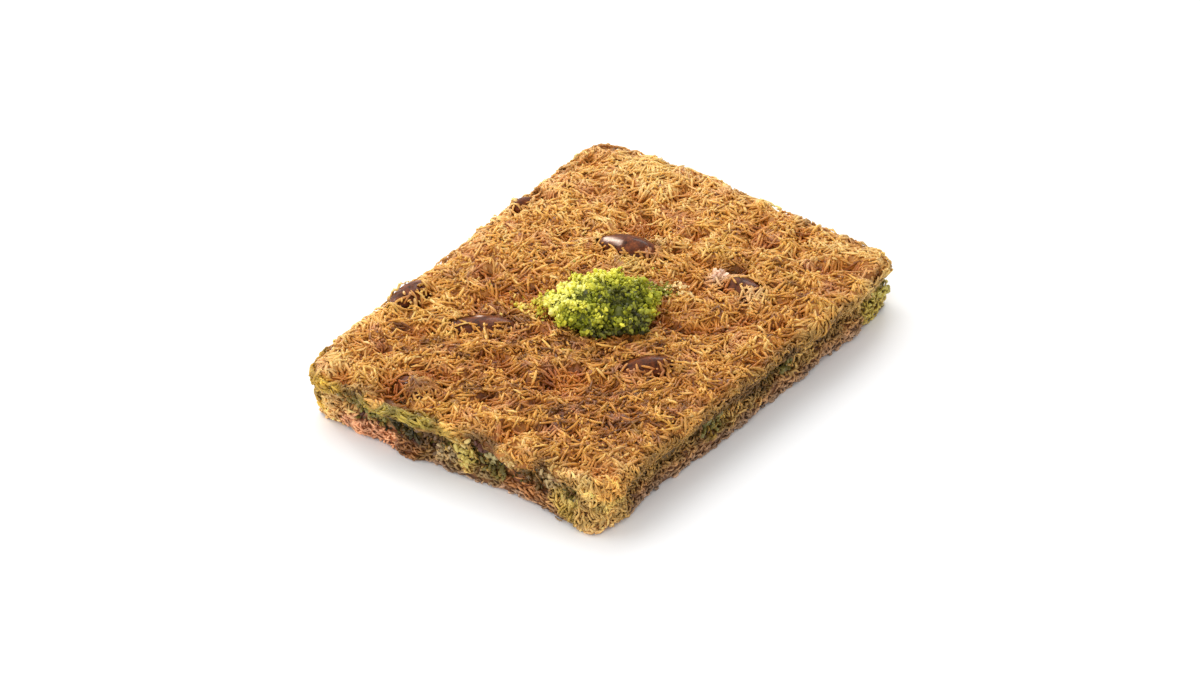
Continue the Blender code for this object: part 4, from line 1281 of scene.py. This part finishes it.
# the chopped nut: how a bit of nut is made, and the bits of the filling: how many and their least
# and greatest half size, and clusters: from and to round the slab, from and to in height, how
# many, how large and what colour
bits = {
    "columns": 6,
    "rows": 3,
    "cuts": 6,
    "cutDepth": (0.25, 0.75),
    "least": [1.0, 0.7, 0.55],  # shares of the half size along the three axes
    "most": [1.6, 1.05, 0.85],
}
filling = {
    "bits": [(300, 0.9, 1.6), (900, 0.45, 0.9), (750, 0.28, 0.45)],
    "heights": (4.0, 9.8),
    "lift": (-0.9, 0.3),
    "coveredIn": 1.6,  # how much deeper bits lie where shreds cover them
    "sunk": 0.3,  # how much of its half size a bit lies in besides
    "behind": 0.75,  # how far bits behind shreds take the side's colours
    "behindFrom": 0.8,  # the cover from which they do
    "behindTone": 0.3,
    "tonePower": 1.2,
    "stops": [
        (0.0, (0.03, 0.032, 0.012)),
        (0.25, (0.10, 0.10, 0.025)),
        (0.5, (0.22, 0.21, 0.045)),
        (0.75, (0.38, 0.36, 0.09)),
        (1.0, (0.66, 0.58, 0.28)),
    ],
    "skin": (0.14, 0.06, 0.045),
    "skinShare": 0.22,
    "clusterLift": (-0.3, 0.7),
    "clusterSize": (0.75, 1.15),
    "clusterTone": (0.75, 1.25),
    "clusters": [
        ((183.5, 190.0), (6.5, 11.4), 22, 0.75, (0.22, 0.15, 0.035)),
        ((185.5, 196.0), (6.6, 9.6), 24, 0.8, (0.24, 0.20, 0.04)),
        ((197.0, 204.0), (5.6, 10.0), 24, 0.9, (0.06, 0.045, 0.012)),
        ((202.6, 204.4), (7.6, 9.0), 3, 0.8, (0.60, 0.48, 0.24)),
        ((204.0, 209.5), (3.6, 9.0), 26, 0.8, (0.16, 0.085, 0.035)),
        ((209.0, 214.0), (3.6, 7.0), 20, 0.8, (0.42, 0.30, 0.15)),
        ((214.5, 217.5), (9.4, 11.2), 5, 0.9, (0.68, 0.50, 0.18)),
        ((213.5, 218.0), (3.4, 8.4), 22, 0.9, (0.62, 0.48, 0.12)),
        ((219.0, 222.0), (8.8, 11.4), 5, 1.4, (0.12, 0.045, 0.03)),
        ((221.0, 225.5), (6.8, 9.6), 14, 0.85, (0.40, 0.33, 0.14)),
        ((219.5, 226.0), (3.6, 7.2), 20, 0.8, (0.17, 0.13, 0.03)),
        ((225.5, 230.0), (8.0, 10.4), 12, 0.7, (0.66, 0.46, 0.18)),
        ((230.0, 236.0), (4.4, 8.6), 22, 0.75, (0.15, 0.08, 0.02)),
        ((236.0, 241.5), (6.0, 10.4), 20, 0.7, (0.46, 0.32, 0.14)),
        ((239.5, 246.5), (5.4, 9.8), 24, 0.8, (0.13, 0.095, 0.015)),
        ((241.0, 246.0), (4.2, 6.2), 14, 0.9, (0.62, 0.46, 0.12)),
        ((286.5, 293.5), (5.0, 9.5), 20, 0.8, (0.17, 0.14, 0.03)),
        ((315.5, 320.5), (5.0, 9.0), 12, 0.8, (0.17, 0.14, 0.03)),
        ((350.0, 362.0), (4.3, 7.4), 30, 0.8, (0.50, 0.42, 0.09)),
    ],
    "core": {
        "sink": 1.0, "levels": (9.3, 4.1), "columns": 300, "rough": 0.4,
        "noise": [(1.0, 1.3, 6), (0.6, 0.7, 7)], "tone": 0.0, "depth": 0.6,
    },
    "shade": {"deepest": -1.0, "over": 1.2},
    "deep": (0.45, 0.36, 0.25),
    "roughness": 0.4,
    "coat": 0.3,
    "contrast": 0.3,
    "glow": 0.0,
}


def choppedBits(name, centres, sizes, colours, depths, seed, finish):
    # bits of nut: balls in random directions, each flattened by a few cuts
    draw = np.random.default_rng(seed)
    count = len(centres)
    half = sizes[:, None] * draw.uniform(bits["least"], bits["most"], (count, 3))
    cuts = [
        (unit(draw.normal(size=(count, 3))), draw.uniform(*bits["cutDepth"], count))
        for _ in range(bits["cuts"])
    ]
    frames = randomFrames(draw, half)
    places, faceSets = ballArrays(centres, frames, bits["columns"], bits["rows"], cuts)
    each = len(places) // count
    marks = {"tint": np.repeat(colours, each, axis=0), "depth": np.repeat(depths, each)}
    meshPiece(name, places, faceSets, finish, (), marks, smooth=False)


def fillingBits(finish):
    # scattered bits all round the sides, each kind evenly, and the clusters' own bits; scattered
    # ones lie deeper where shreds cover them, and take the sides' colours there
    draw = np.random.default_rng(seeds["filling"])
    runs, heights, halves, colours = [], [], [], []
    for count, least, most in filling["bits"]:
        runs.append((np.arange(count) + draw.uniform(0, 1, count)) / count * ringLength)
        heights.append(draw.uniform(*filling["heights"], count))
        halves.append(draw.uniform(least, most, count))
        share = draw.uniform(0, 1, count) ** filling["tonePower"]
        isSkin = (draw.uniform(0, 1, count) < filling["skinShare"]).astype(float)
        colours.append(mixedIn(colourAt(filling["stops"], share), filling["skin"], isSkin))
    for (first, last), (low, high), count, half, colour in filling["clusters"]:
        runs.append(draw.uniform(first, last, count))
        heights.append(draw.uniform(low, high, count))
        halves.append(half * draw.uniform(*filling["clusterSize"], count))
        colours.append(np.array(colour) * draw.uniform(*filling["clusterTone"], (count, 1)))
    run, height, half, colours = (np.concatenate(rows) for rows in (runs, heights, halves, colours))
    own = sum(count for count, _, _ in filling["bits"])
    covered = np.interp(run, *zip(*sides["coverShare"]))
    lift = draw.uniform(*filling["lift"], len(run)) - filling["coveredIn"] * covered
    behind = sideTints(run, height, filling["behindTone"] + 0 * run)
    share = filling["behind"] * (covered[:own] > filling["behindFrom"])
    colours[:own] += (behind - colours)[:own] * share[:, None]
    lift[own:] = draw.uniform(*filling["clusterLift"], len(run) - own)
    centres, _ = onSide(run, height, lift - filling["sunk"] * half, reachAll)
    shade = filling["shade"]
    depth = np.clip((lift - shade["deepest"]) / shade["over"], 0, 1)
    choppedBits("filling_bits", centres, half, colours, depth, seeds["fillingBits"], finish)


chopped = foodFinish("choppedNut", filling)
levelCore("filling_core", "filling", filling["core"], chopped)
fillingBits(chopped)
print("filling done")

# the mound: how many grains, their half sizes, how deep they lie and clump, their palette and
# where on it they are. Crumbs lie loose round it: middle in plan, reach, how many, how large, how
# high at most and what colour
ground = {
    "count": 3900,
    "size": (0.22, 0.85),
    "sizePower": 2.6,  # more small grains than large ones
    "facesDown": -0.3,  # no grains where the solid faces down more than this
    "core": {
        "around": 72,  # cells round the solid's map, and points of each ring
        "high": 14,  # cells of the map from the foot to the top
        "rings": 26,
        "steps": 8,  # places along each edge of a triangle
        "rounds": 10,  # of filling the map in
        "measuredFrom": 14.2,  # height that the map is measured from
        "under": 13.9,  # height of the point that closes it
        "sink": 2.1,
        "noise": [(0.5, 1.5, 12), (0.25, 0.8, 13)],
        "tone": 0.25,
        "depth": 0.3,
    },
    "deepest": 1.5,
    "clumps": [(1.5, 2.8, 14), (0.6, 1.4, 16)],
    "stops": [
        (0.0, (0.045, 0.042, 0.012)),
        (0.25, (0.18, 0.18, 0.022)),
        (0.5, (0.46, 0.455, 0.026)),
        (0.75, (0.86, 0.80, 0.075)),
        (1.0, (0.98, 0.93, 0.26)),
    ],
    "tone": 0.62,
    "toneDraw": 0.12,
    "toneNoise": [(0.38, 2.8, 15)],
    "lit": (0.05, 0.9),  # the way to the light in plan
    "litShare": 0.34,
    "foot": {
        "level": 14.0, "height": 2.2, "towards": (-0.81, -0.59), "sharp": 1.6, "darker": 0.18,
    },
    "shade": {"even": 0.95, "sunk": 0.5, "clump": 0.9},
    "crumbTone": (0.7, 1.2),
    "crumbEdge": 0.8,  # how far under the mound they go
    "crumbs": [
        ((-6.6, 11.2), 4.0, 120, (0.3, 0.6), 0.6, (0.66, 0.56, 0.05)),
        ((-9.6, 13.6), 4.4, 60, (0.28, 0.6), 0.5, (0.80, 0.56, 0.12)),
        ((12.4, -7.6), 3.0, 60, (0.25, 0.55), 0.5, (0.34, 0.34, 0.05)),
        ((15.2, -9.6), 3.2, 40, (0.28, 0.62), 0.6, (0.90, 0.66, 0.30)),
        ((24.0, -14.2), 1.8, 24, (0.4, 0.85), 1.3, (0.90, 0.60, 0.42)),
        ((4.0, 0.0), 18.0, 90, (0.2, 0.38), 0.4, (0.52, 0.46, 0.05)),
    ],
    "deep": (0.38, 0.43, 0.22),
    "roughness": 0.5,
    "coat": 0.1,
    "contrast": 0.3,
    "glow": 0.0,
}


def scattered(corners, count, draw):
    # places picked at random on triangles, the larger ones more often and none that face down, and
    # the way out there
    across = np.cross(corners[:, 1] - corners[:, 0], corners[:, 2] - corners[:, 0])
    area = np.linalg.norm(across, axis=1)
    area = area * (across[:, 2] > ground["facesDown"] * area)
    chosen = draw.choice(len(corners), count, p=area / area.sum())
    first, second = draw.uniform(0, 1, (2, count))
    flip = first + second > 1
    first, second = np.where(flip, 1 - first, first), np.where(flip, 1 - second, second)
    weights = np.stack([first, second, 1 - first - second], 1)
    return np.einsum("nc,ncx->nx", weights, corners[chosen]), unit(across[chosen])


def moundCore(corners, finish):
    # a dome under the grains: how far the solid's skin is from the middle of its foot, by compass
    # and by rise, less the core's sink, and bumps from noise; it is closed by a point under it
    core = ground["core"]
    around, high, rings = core["around"], core["high"], core["rings"]
    centre = moundForm["centre"]
    samples = evenPoints(corners, core["steps"]) - [centre[0], centre[1], core["measuredFrom"]]
    compass = np.arctan2(samples[:, 1], samples[:, 0]) % math.tau
    reach = np.hypot(samples[:, 0], samples[:, 1])
    row = (compass / math.tau * around).astype(int) % around
    rise = np.arctan2(samples[:, 2], reach)
    column = np.clip(rise / quarter * high, 0, high - 1).astype(int)
    domeGrid = np.full((around, high), -1.0)
    np.maximum.at(domeGrid, (row, column), np.hypot(samples[:, 2], reach))
    domeGrid = softened(filledIn(domeGrid, domeGrid > 0, core["rounds"], True), 1, True)
    compass = math.tau * np.arange(around)[None] / around
    rise = np.linspace(quarter, 0, rings)[:, None]
    cells = np.broadcast_to(np.arange(around), (rings, around))
    levels = np.broadcast_to(rise / quarter * high - 0.5, (rings, around))
    spread = readGrid(domeGrid, cells, levels, True) - core["sink"]
    dome = np.stack(
        [
            centre[0] + spread * np.cos(rise) * np.cos(compass),
            centre[1] + spread * np.cos(rise) * np.sin(compass),
            ground["foot"]["level"] + spread * np.sin(rise),
        ],
        -1,
    )
    bump = noiseSum(dome, core["noise"])
    dome[1:-1] += (bump[..., None] * unit(dome - centre))[1:-1]
    base = np.broadcast_to(np.array([centre[0], centre[1], core["under"]]), (1, around, 3))
    places, faceSets = shellArrays(np.concatenate([dome, base]))
    flat = 0 * places[:, 0]
    marks = {"tint": colourAt(ground["stops"], core["tone"] + flat), "depth": core["depth"] + flat}
    meshPiece("mound_core", places, faceSets, finish, ["pistachio_mound"], marks)


def moundGrains(corners, finish, draw):
    # grains all over the mound, small ones more often, sunk by chance and raised in clumps; their
    # green is lighter on the lit side and darker at the foot of the shaded one
    places, outward = scattered(corners, ground["count"], draw)
    count = len(places)
    least, most = ground["size"]
    half = least + (most - least) * draw.uniform(0, 1, count) ** ground["sizePower"]
    deep = -ground["deepest"] * draw.uniform(0, 1, count)
    clump = noiseSum(places, ground["clumps"])
    facing = unit(places - moundForm["centre"])[:, :2]
    lit = facing @ np.array(ground["lit"])
    tone = ground["tone"] + ground["toneDraw"] * draw.normal(0, 1, count) + ground["litShare"] * lit
    tone = tone + noiseSum(places, ground["toneNoise"])
    foot = ground["foot"]
    low = np.clip(1 - (places[:, 2] - foot["level"]) / foot["height"], 0, 1)
    shaded = np.clip(facing @ np.array(foot["towards"]) * foot["sharp"], 0, 1)
    tone = tone - foot["darker"] * low * shaded
    shade = ground["shade"]
    depth = np.clip(shade["even"] + shade["sunk"] * deep + shade["clump"] * clump, 0, 1)
    centres = places + outward * (deep + clump)[:, None]
    colours = colourAt(ground["stops"], tone)
    choppedBits("mound_grains", centres, half, colours, depth, seeds["grains"], finish)


def looseCrumbs(finish, draw):
    # crumbs that lie on the crust round the mound, but not on kernels or under the mound
    places, halves, colours = [], [], []
    for middle, reach, count, (least, most), rise, colour in ground["crumbs"]:
        spots = np.array(middle) + draw.normal(0, reach / 2, (count, 2))
        level = topAt(spots[:, 0], spots[:, 1], crustGrid) + tuftsAt(spots[:, 0], spots[:, 1])
        level = level + draw.uniform(0, rise, count)
        places.append(np.concatenate([spots, level[:, None]], 1))
        halves.append(draw.uniform(least, most, count))
        colours.append(np.array(colour) * draw.uniform(*ground["crumbTone"], (count, 1)))
    places, halves, colours = (np.concatenate(rows) for rows in (places, halves, colours))
    x, y = places[:, 0], places[:, 1]
    clear = ellipseShare(x, y, moundForm, 0.0) > ground["crumbEdge"]
    for kernel in kernels.values():
        clear &= ellipseShare(x, y, kernel, kernelCover["margin"]) > 1
    choppedBits("loose_crumbs", places[clear], halves[clear], colours[clear], np.ones(clear.sum()),
                seeds["crumbs"], finish)


moundCorners = cadCorners("pistachio_mound")
groundNut = foodFinish("groundNut", ground)
groundDraw = np.random.default_rng(seeds["mound"])
moundCore(moundCorners, groundNut)
moundGrains(moundCorners, groundNut, groundDraw)
looseCrumbs(groundNut, groundDraw)
print("mound done")

# the kernels: how their skin shines, how it is puckered, its colours over the streaks' noise, and
# painted highlights, each a pale line from and to in plan, its reach, and its strength, where a
# glint is painted into the skin's colour. The shape is a ball slimmer at its far end, with a ridge
# along its back
kernelLook = {
    "roughness": 0.5,
    "specular": 0.05,
    "coat": 0.2,
    "coatRoughness": 0.15,
    "streaks": (1.6, 3.0, 0.6),
    "streakShare": 0.8,
    "fine": (0.4, 3.0, 0.6),
    "fineShare": 0.3,
    "relief": (0.12, 0.6),
    "stops": [
        (0.2, (0.03, 0.008, 0.002)),
        (0.42, (0.12, 0.028, 0.006)),
        (0.6, (0.23, 0.058, 0.013)),
        (0.78, (0.56, 0.28, 0.15)),
    ],
    # the pale colour of the painted highlights
    "scuff": (0.95, 0.72, 0.58),
    "highlightBroken": (0.4, 1.4),  # the painted highlight's strength where the fine noise is low, and what it adds
    "highlightFrom": 13.6,  # no painted highlight is lower
    "paintedHighlights": [
        ((21.0, 14.6), (20.6, 10.4), 0.5, 0.9),
        ((-22.6, 23.4), (-22.4, 22.9), 0.5, 0.9),
        ((-20.0, 19.2), (-19.8, 18.7), 0.5, 0.9),
    ],
    "rows": 41,
    "columns": 32,
    "pointed": 1.1,  # 1 is a ball's own ends, and more is a more pointed one
    "slimmer": 0.14,
    "ridge": 0.05,
    "ridgeWide": 0.1,
    "pucker": 0.24,
    "puckerLong": 0.35,  # how much of the length counts for it, so that it is drawn out
    "finePucker": 0.07,
    "finePuckerSize": 0.6,
}


def kernelFinish():
    # dark skin whose colour follows streaks of noise, and pale where the painted-highlight mark is
    # high, a glint painted into the colour
    finish = Finish("kernelSkin", kernelLook["roughness"], kernelLook["specular"],
                    kernelLook["coat"], kernelLook["coatRoughness"])
    streaks = finish.noise(*kernelLook["streaks"])
    fine = finish.noise(*kernelLook["fine"])
    shade = streaks * kernelLook["streakShare"] + (fine - 0.5) * kernelLook["fineShare"]
    colour = finish.ramp(shade.held(), kernelLook["stops"])
    even, broken = kernelLook["highlightBroken"]
    highlighted = (finish.mark("scuff") * (even + fine * broken)).held()
    finish.fix("Base Color", finish.blend(highlighted, colour, kernelLook["scuff"]))
    finish.relief(fine, *kernelLook["relief"])
    return finish.material


def paintedHighlightShare(places):
    # the painted highlight at full strength on the line between its two ends in plan, fading over
    # its reach
    share = np.zeros(len(places))
    for first, last, reach, most in kernelLook["paintedHighlights"]:
        line = np.array(last) - first
        flat = places[:, :2] - first
        nearest = np.clip(flat @ line / (line @ line), 0, 1)[:, None] * line
        away = np.linalg.norm(flat - nearest, axis=1)
        share = np.maximum(share, most * np.exp(-((away / reach) ** 2)))
    return share * (places[:, 2] > kernelLook["highlightFrom"])


def kernelPiece(node, seed, finish):
    # a kernel: a ball drawn out along its length, slimmer towards one end, a low ridge along its
    # top, and skin puckered by two sizes of noise
    kernel = kernels[node]
    centre, half = kernel["centre"], kernel["half"]
    long = np.array([*kernel["axes"][0], 0])
    short = np.cross([0, 0, 1], long)
    rise = np.linspace(0, math.pi, kernelLook["rows"])[:, None]
    turn = math.tau * np.arange(kernelLook["columns"])[None] / kernelLook["columns"]
    along = np.cos(rise) + 0 * turn
    girth = np.sin(rise) ** kernelLook["pointed"] * (1 - kernelLook["slimmer"] * along)
    side, up = girth * np.cos(turn), girth * np.sin(turn)
    ridge = 1 + kernelLook["ridge"] * np.exp(-((turn - quarter) ** 2) / kernelLook["ridgeWide"])
    grid = centre + along[..., None] * half[0] * long + (side * half[1])[..., None] * short
    grid = grid + (up * half[2] * ridge)[..., None] * np.array([0, 0, 1.0])
    stretch = kernelLook["puckerLong"]
    drawnOut = np.stack([along * half[0] * stretch, side * half[1], up * half[2]], -1)
    pucker = roughness3d(drawnOut + seed, 1.0, seed) * kernelLook["pucker"]
    fine = roughness3d(grid, kernelLook["finePuckerSize"], seed)
    pucker = pucker + fine * kernelLook["finePucker"]
    pucker[[0, -1]] = 0
    places, faceSets = shellArrays(grid + unit(grid - centre) * pucker[..., None])
    # the mark for the painted highlight on the skin
    marks = {"scuff": paintedHighlightShare(places)}
    meshPiece("skin_" + node, places, faceSets, finish, [node], marks)


kernelSkin = kernelFinish()
for number, node in enumerate(sorted(kernels)):
    kernelPiece(node, seeds["kernels"] + number, kernelSkin)
print("kernels done")

# everything here is in metres: where each lamp shines from, how far off and how large it is, and
# its power; and the camera's place round the target, in degrees
studio = {
    "floorColour": (0.92, 0.92, 0.92),
    "floorHalf": 4.0,
    "floorRoughness": 0.8,
    "floorSpecular": 0.2,
    "world": 0.8,
    "lamps": {
        "key": ((0.1, 0.75, 0.75), 0.5, 0.9, 2.6),
        "back": ((0.75, 0.3, 0.55), 1.0, 0.4, 2.0),
        "glint": ((0.15, 0.9, 0.5), 1.0, 0.14, 1.2),
        "fill": ((-0.9, -0.15, 0.4), 1.0, 0.6, 2.5),
    },
    "lens": 165.0,
    "sensor": 36.0,
    "clipEnd": 20.0,
    "azimuth": -54.0,
    "elevation": 34.6,
    "distance": 1.2222,
    "target": (0.0061588, 0.0052449, 0.0),
}


def softLamp(name, direction, distance, size, power):
    # a round lamp so far off in a direction, and turned towards the middle
    lamp = bpy.data.lights.new(name, "AREA")
    lamp.shape = "DISK"
    lamp.size = size
    lamp.energy = power
    made = bpy.data.objects.new(name, lamp)
    towards = Vector(direction).normalized()
    made.location = towards * distance
    made.rotation_euler = towards.to_track_quat("Z", "Y").to_euler()
    bpy.context.scene.collection.objects.link(made)


half = studio["floorHalf"]
floorMesh = bpy.data.meshes.new("floor")
floorCorners = [(-half, -half, 0), (half, -half, 0), (half, half, 0), (-half, half, 0)]
floorMesh.from_pydata(floorCorners, [], [(0, 1, 2, 3)])
floor = bpy.data.objects.new("floor", floorMesh)
floorFinish = Finish("floorFinish", studio["floorRoughness"], studio["floorSpecular"])
floorFinish.fix("Base Color", (*studio["floorColour"], 1))
floorMesh.materials.append(floorFinish.material)
bpy.context.scene.collection.objects.link(floor)

for name, lamp in studio["lamps"].items():
    softLamp(name, *lamp)
world = bpy.data.worlds.new("studio")
world.use_nodes = True
world.node_tree.nodes["Background"].inputs["Color"].default_value = (1, 1, 1, 1)
world.node_tree.nodes["Background"].inputs["Strength"].default_value = studio["world"]
bpy.context.scene.world = world
bpy.context.scene.view_settings.view_transform = "Standard"

lens = bpy.data.cameras.new("camera")
lens.lens = studio["lens"]
lens.sensor_width = studio["sensor"]
lens.clip_end = studio["clipEnd"]
camera = bpy.data.objects.new("camera", lens)
azimuth, elevation = math.radians(studio["azimuth"]), math.radians(studio["elevation"])
level = math.cos(elevation)
back = Vector((math.sin(azimuth) * level, -math.cos(azimuth) * level, math.sin(elevation)))
camera.location = Vector(studio["target"]) + back * studio["distance"]
camera.rotation_euler = back.to_track_quat("Z", "Y").to_euler()
bpy.context.scene.collection.objects.link(camera)
bpy.context.scene.camera = camera
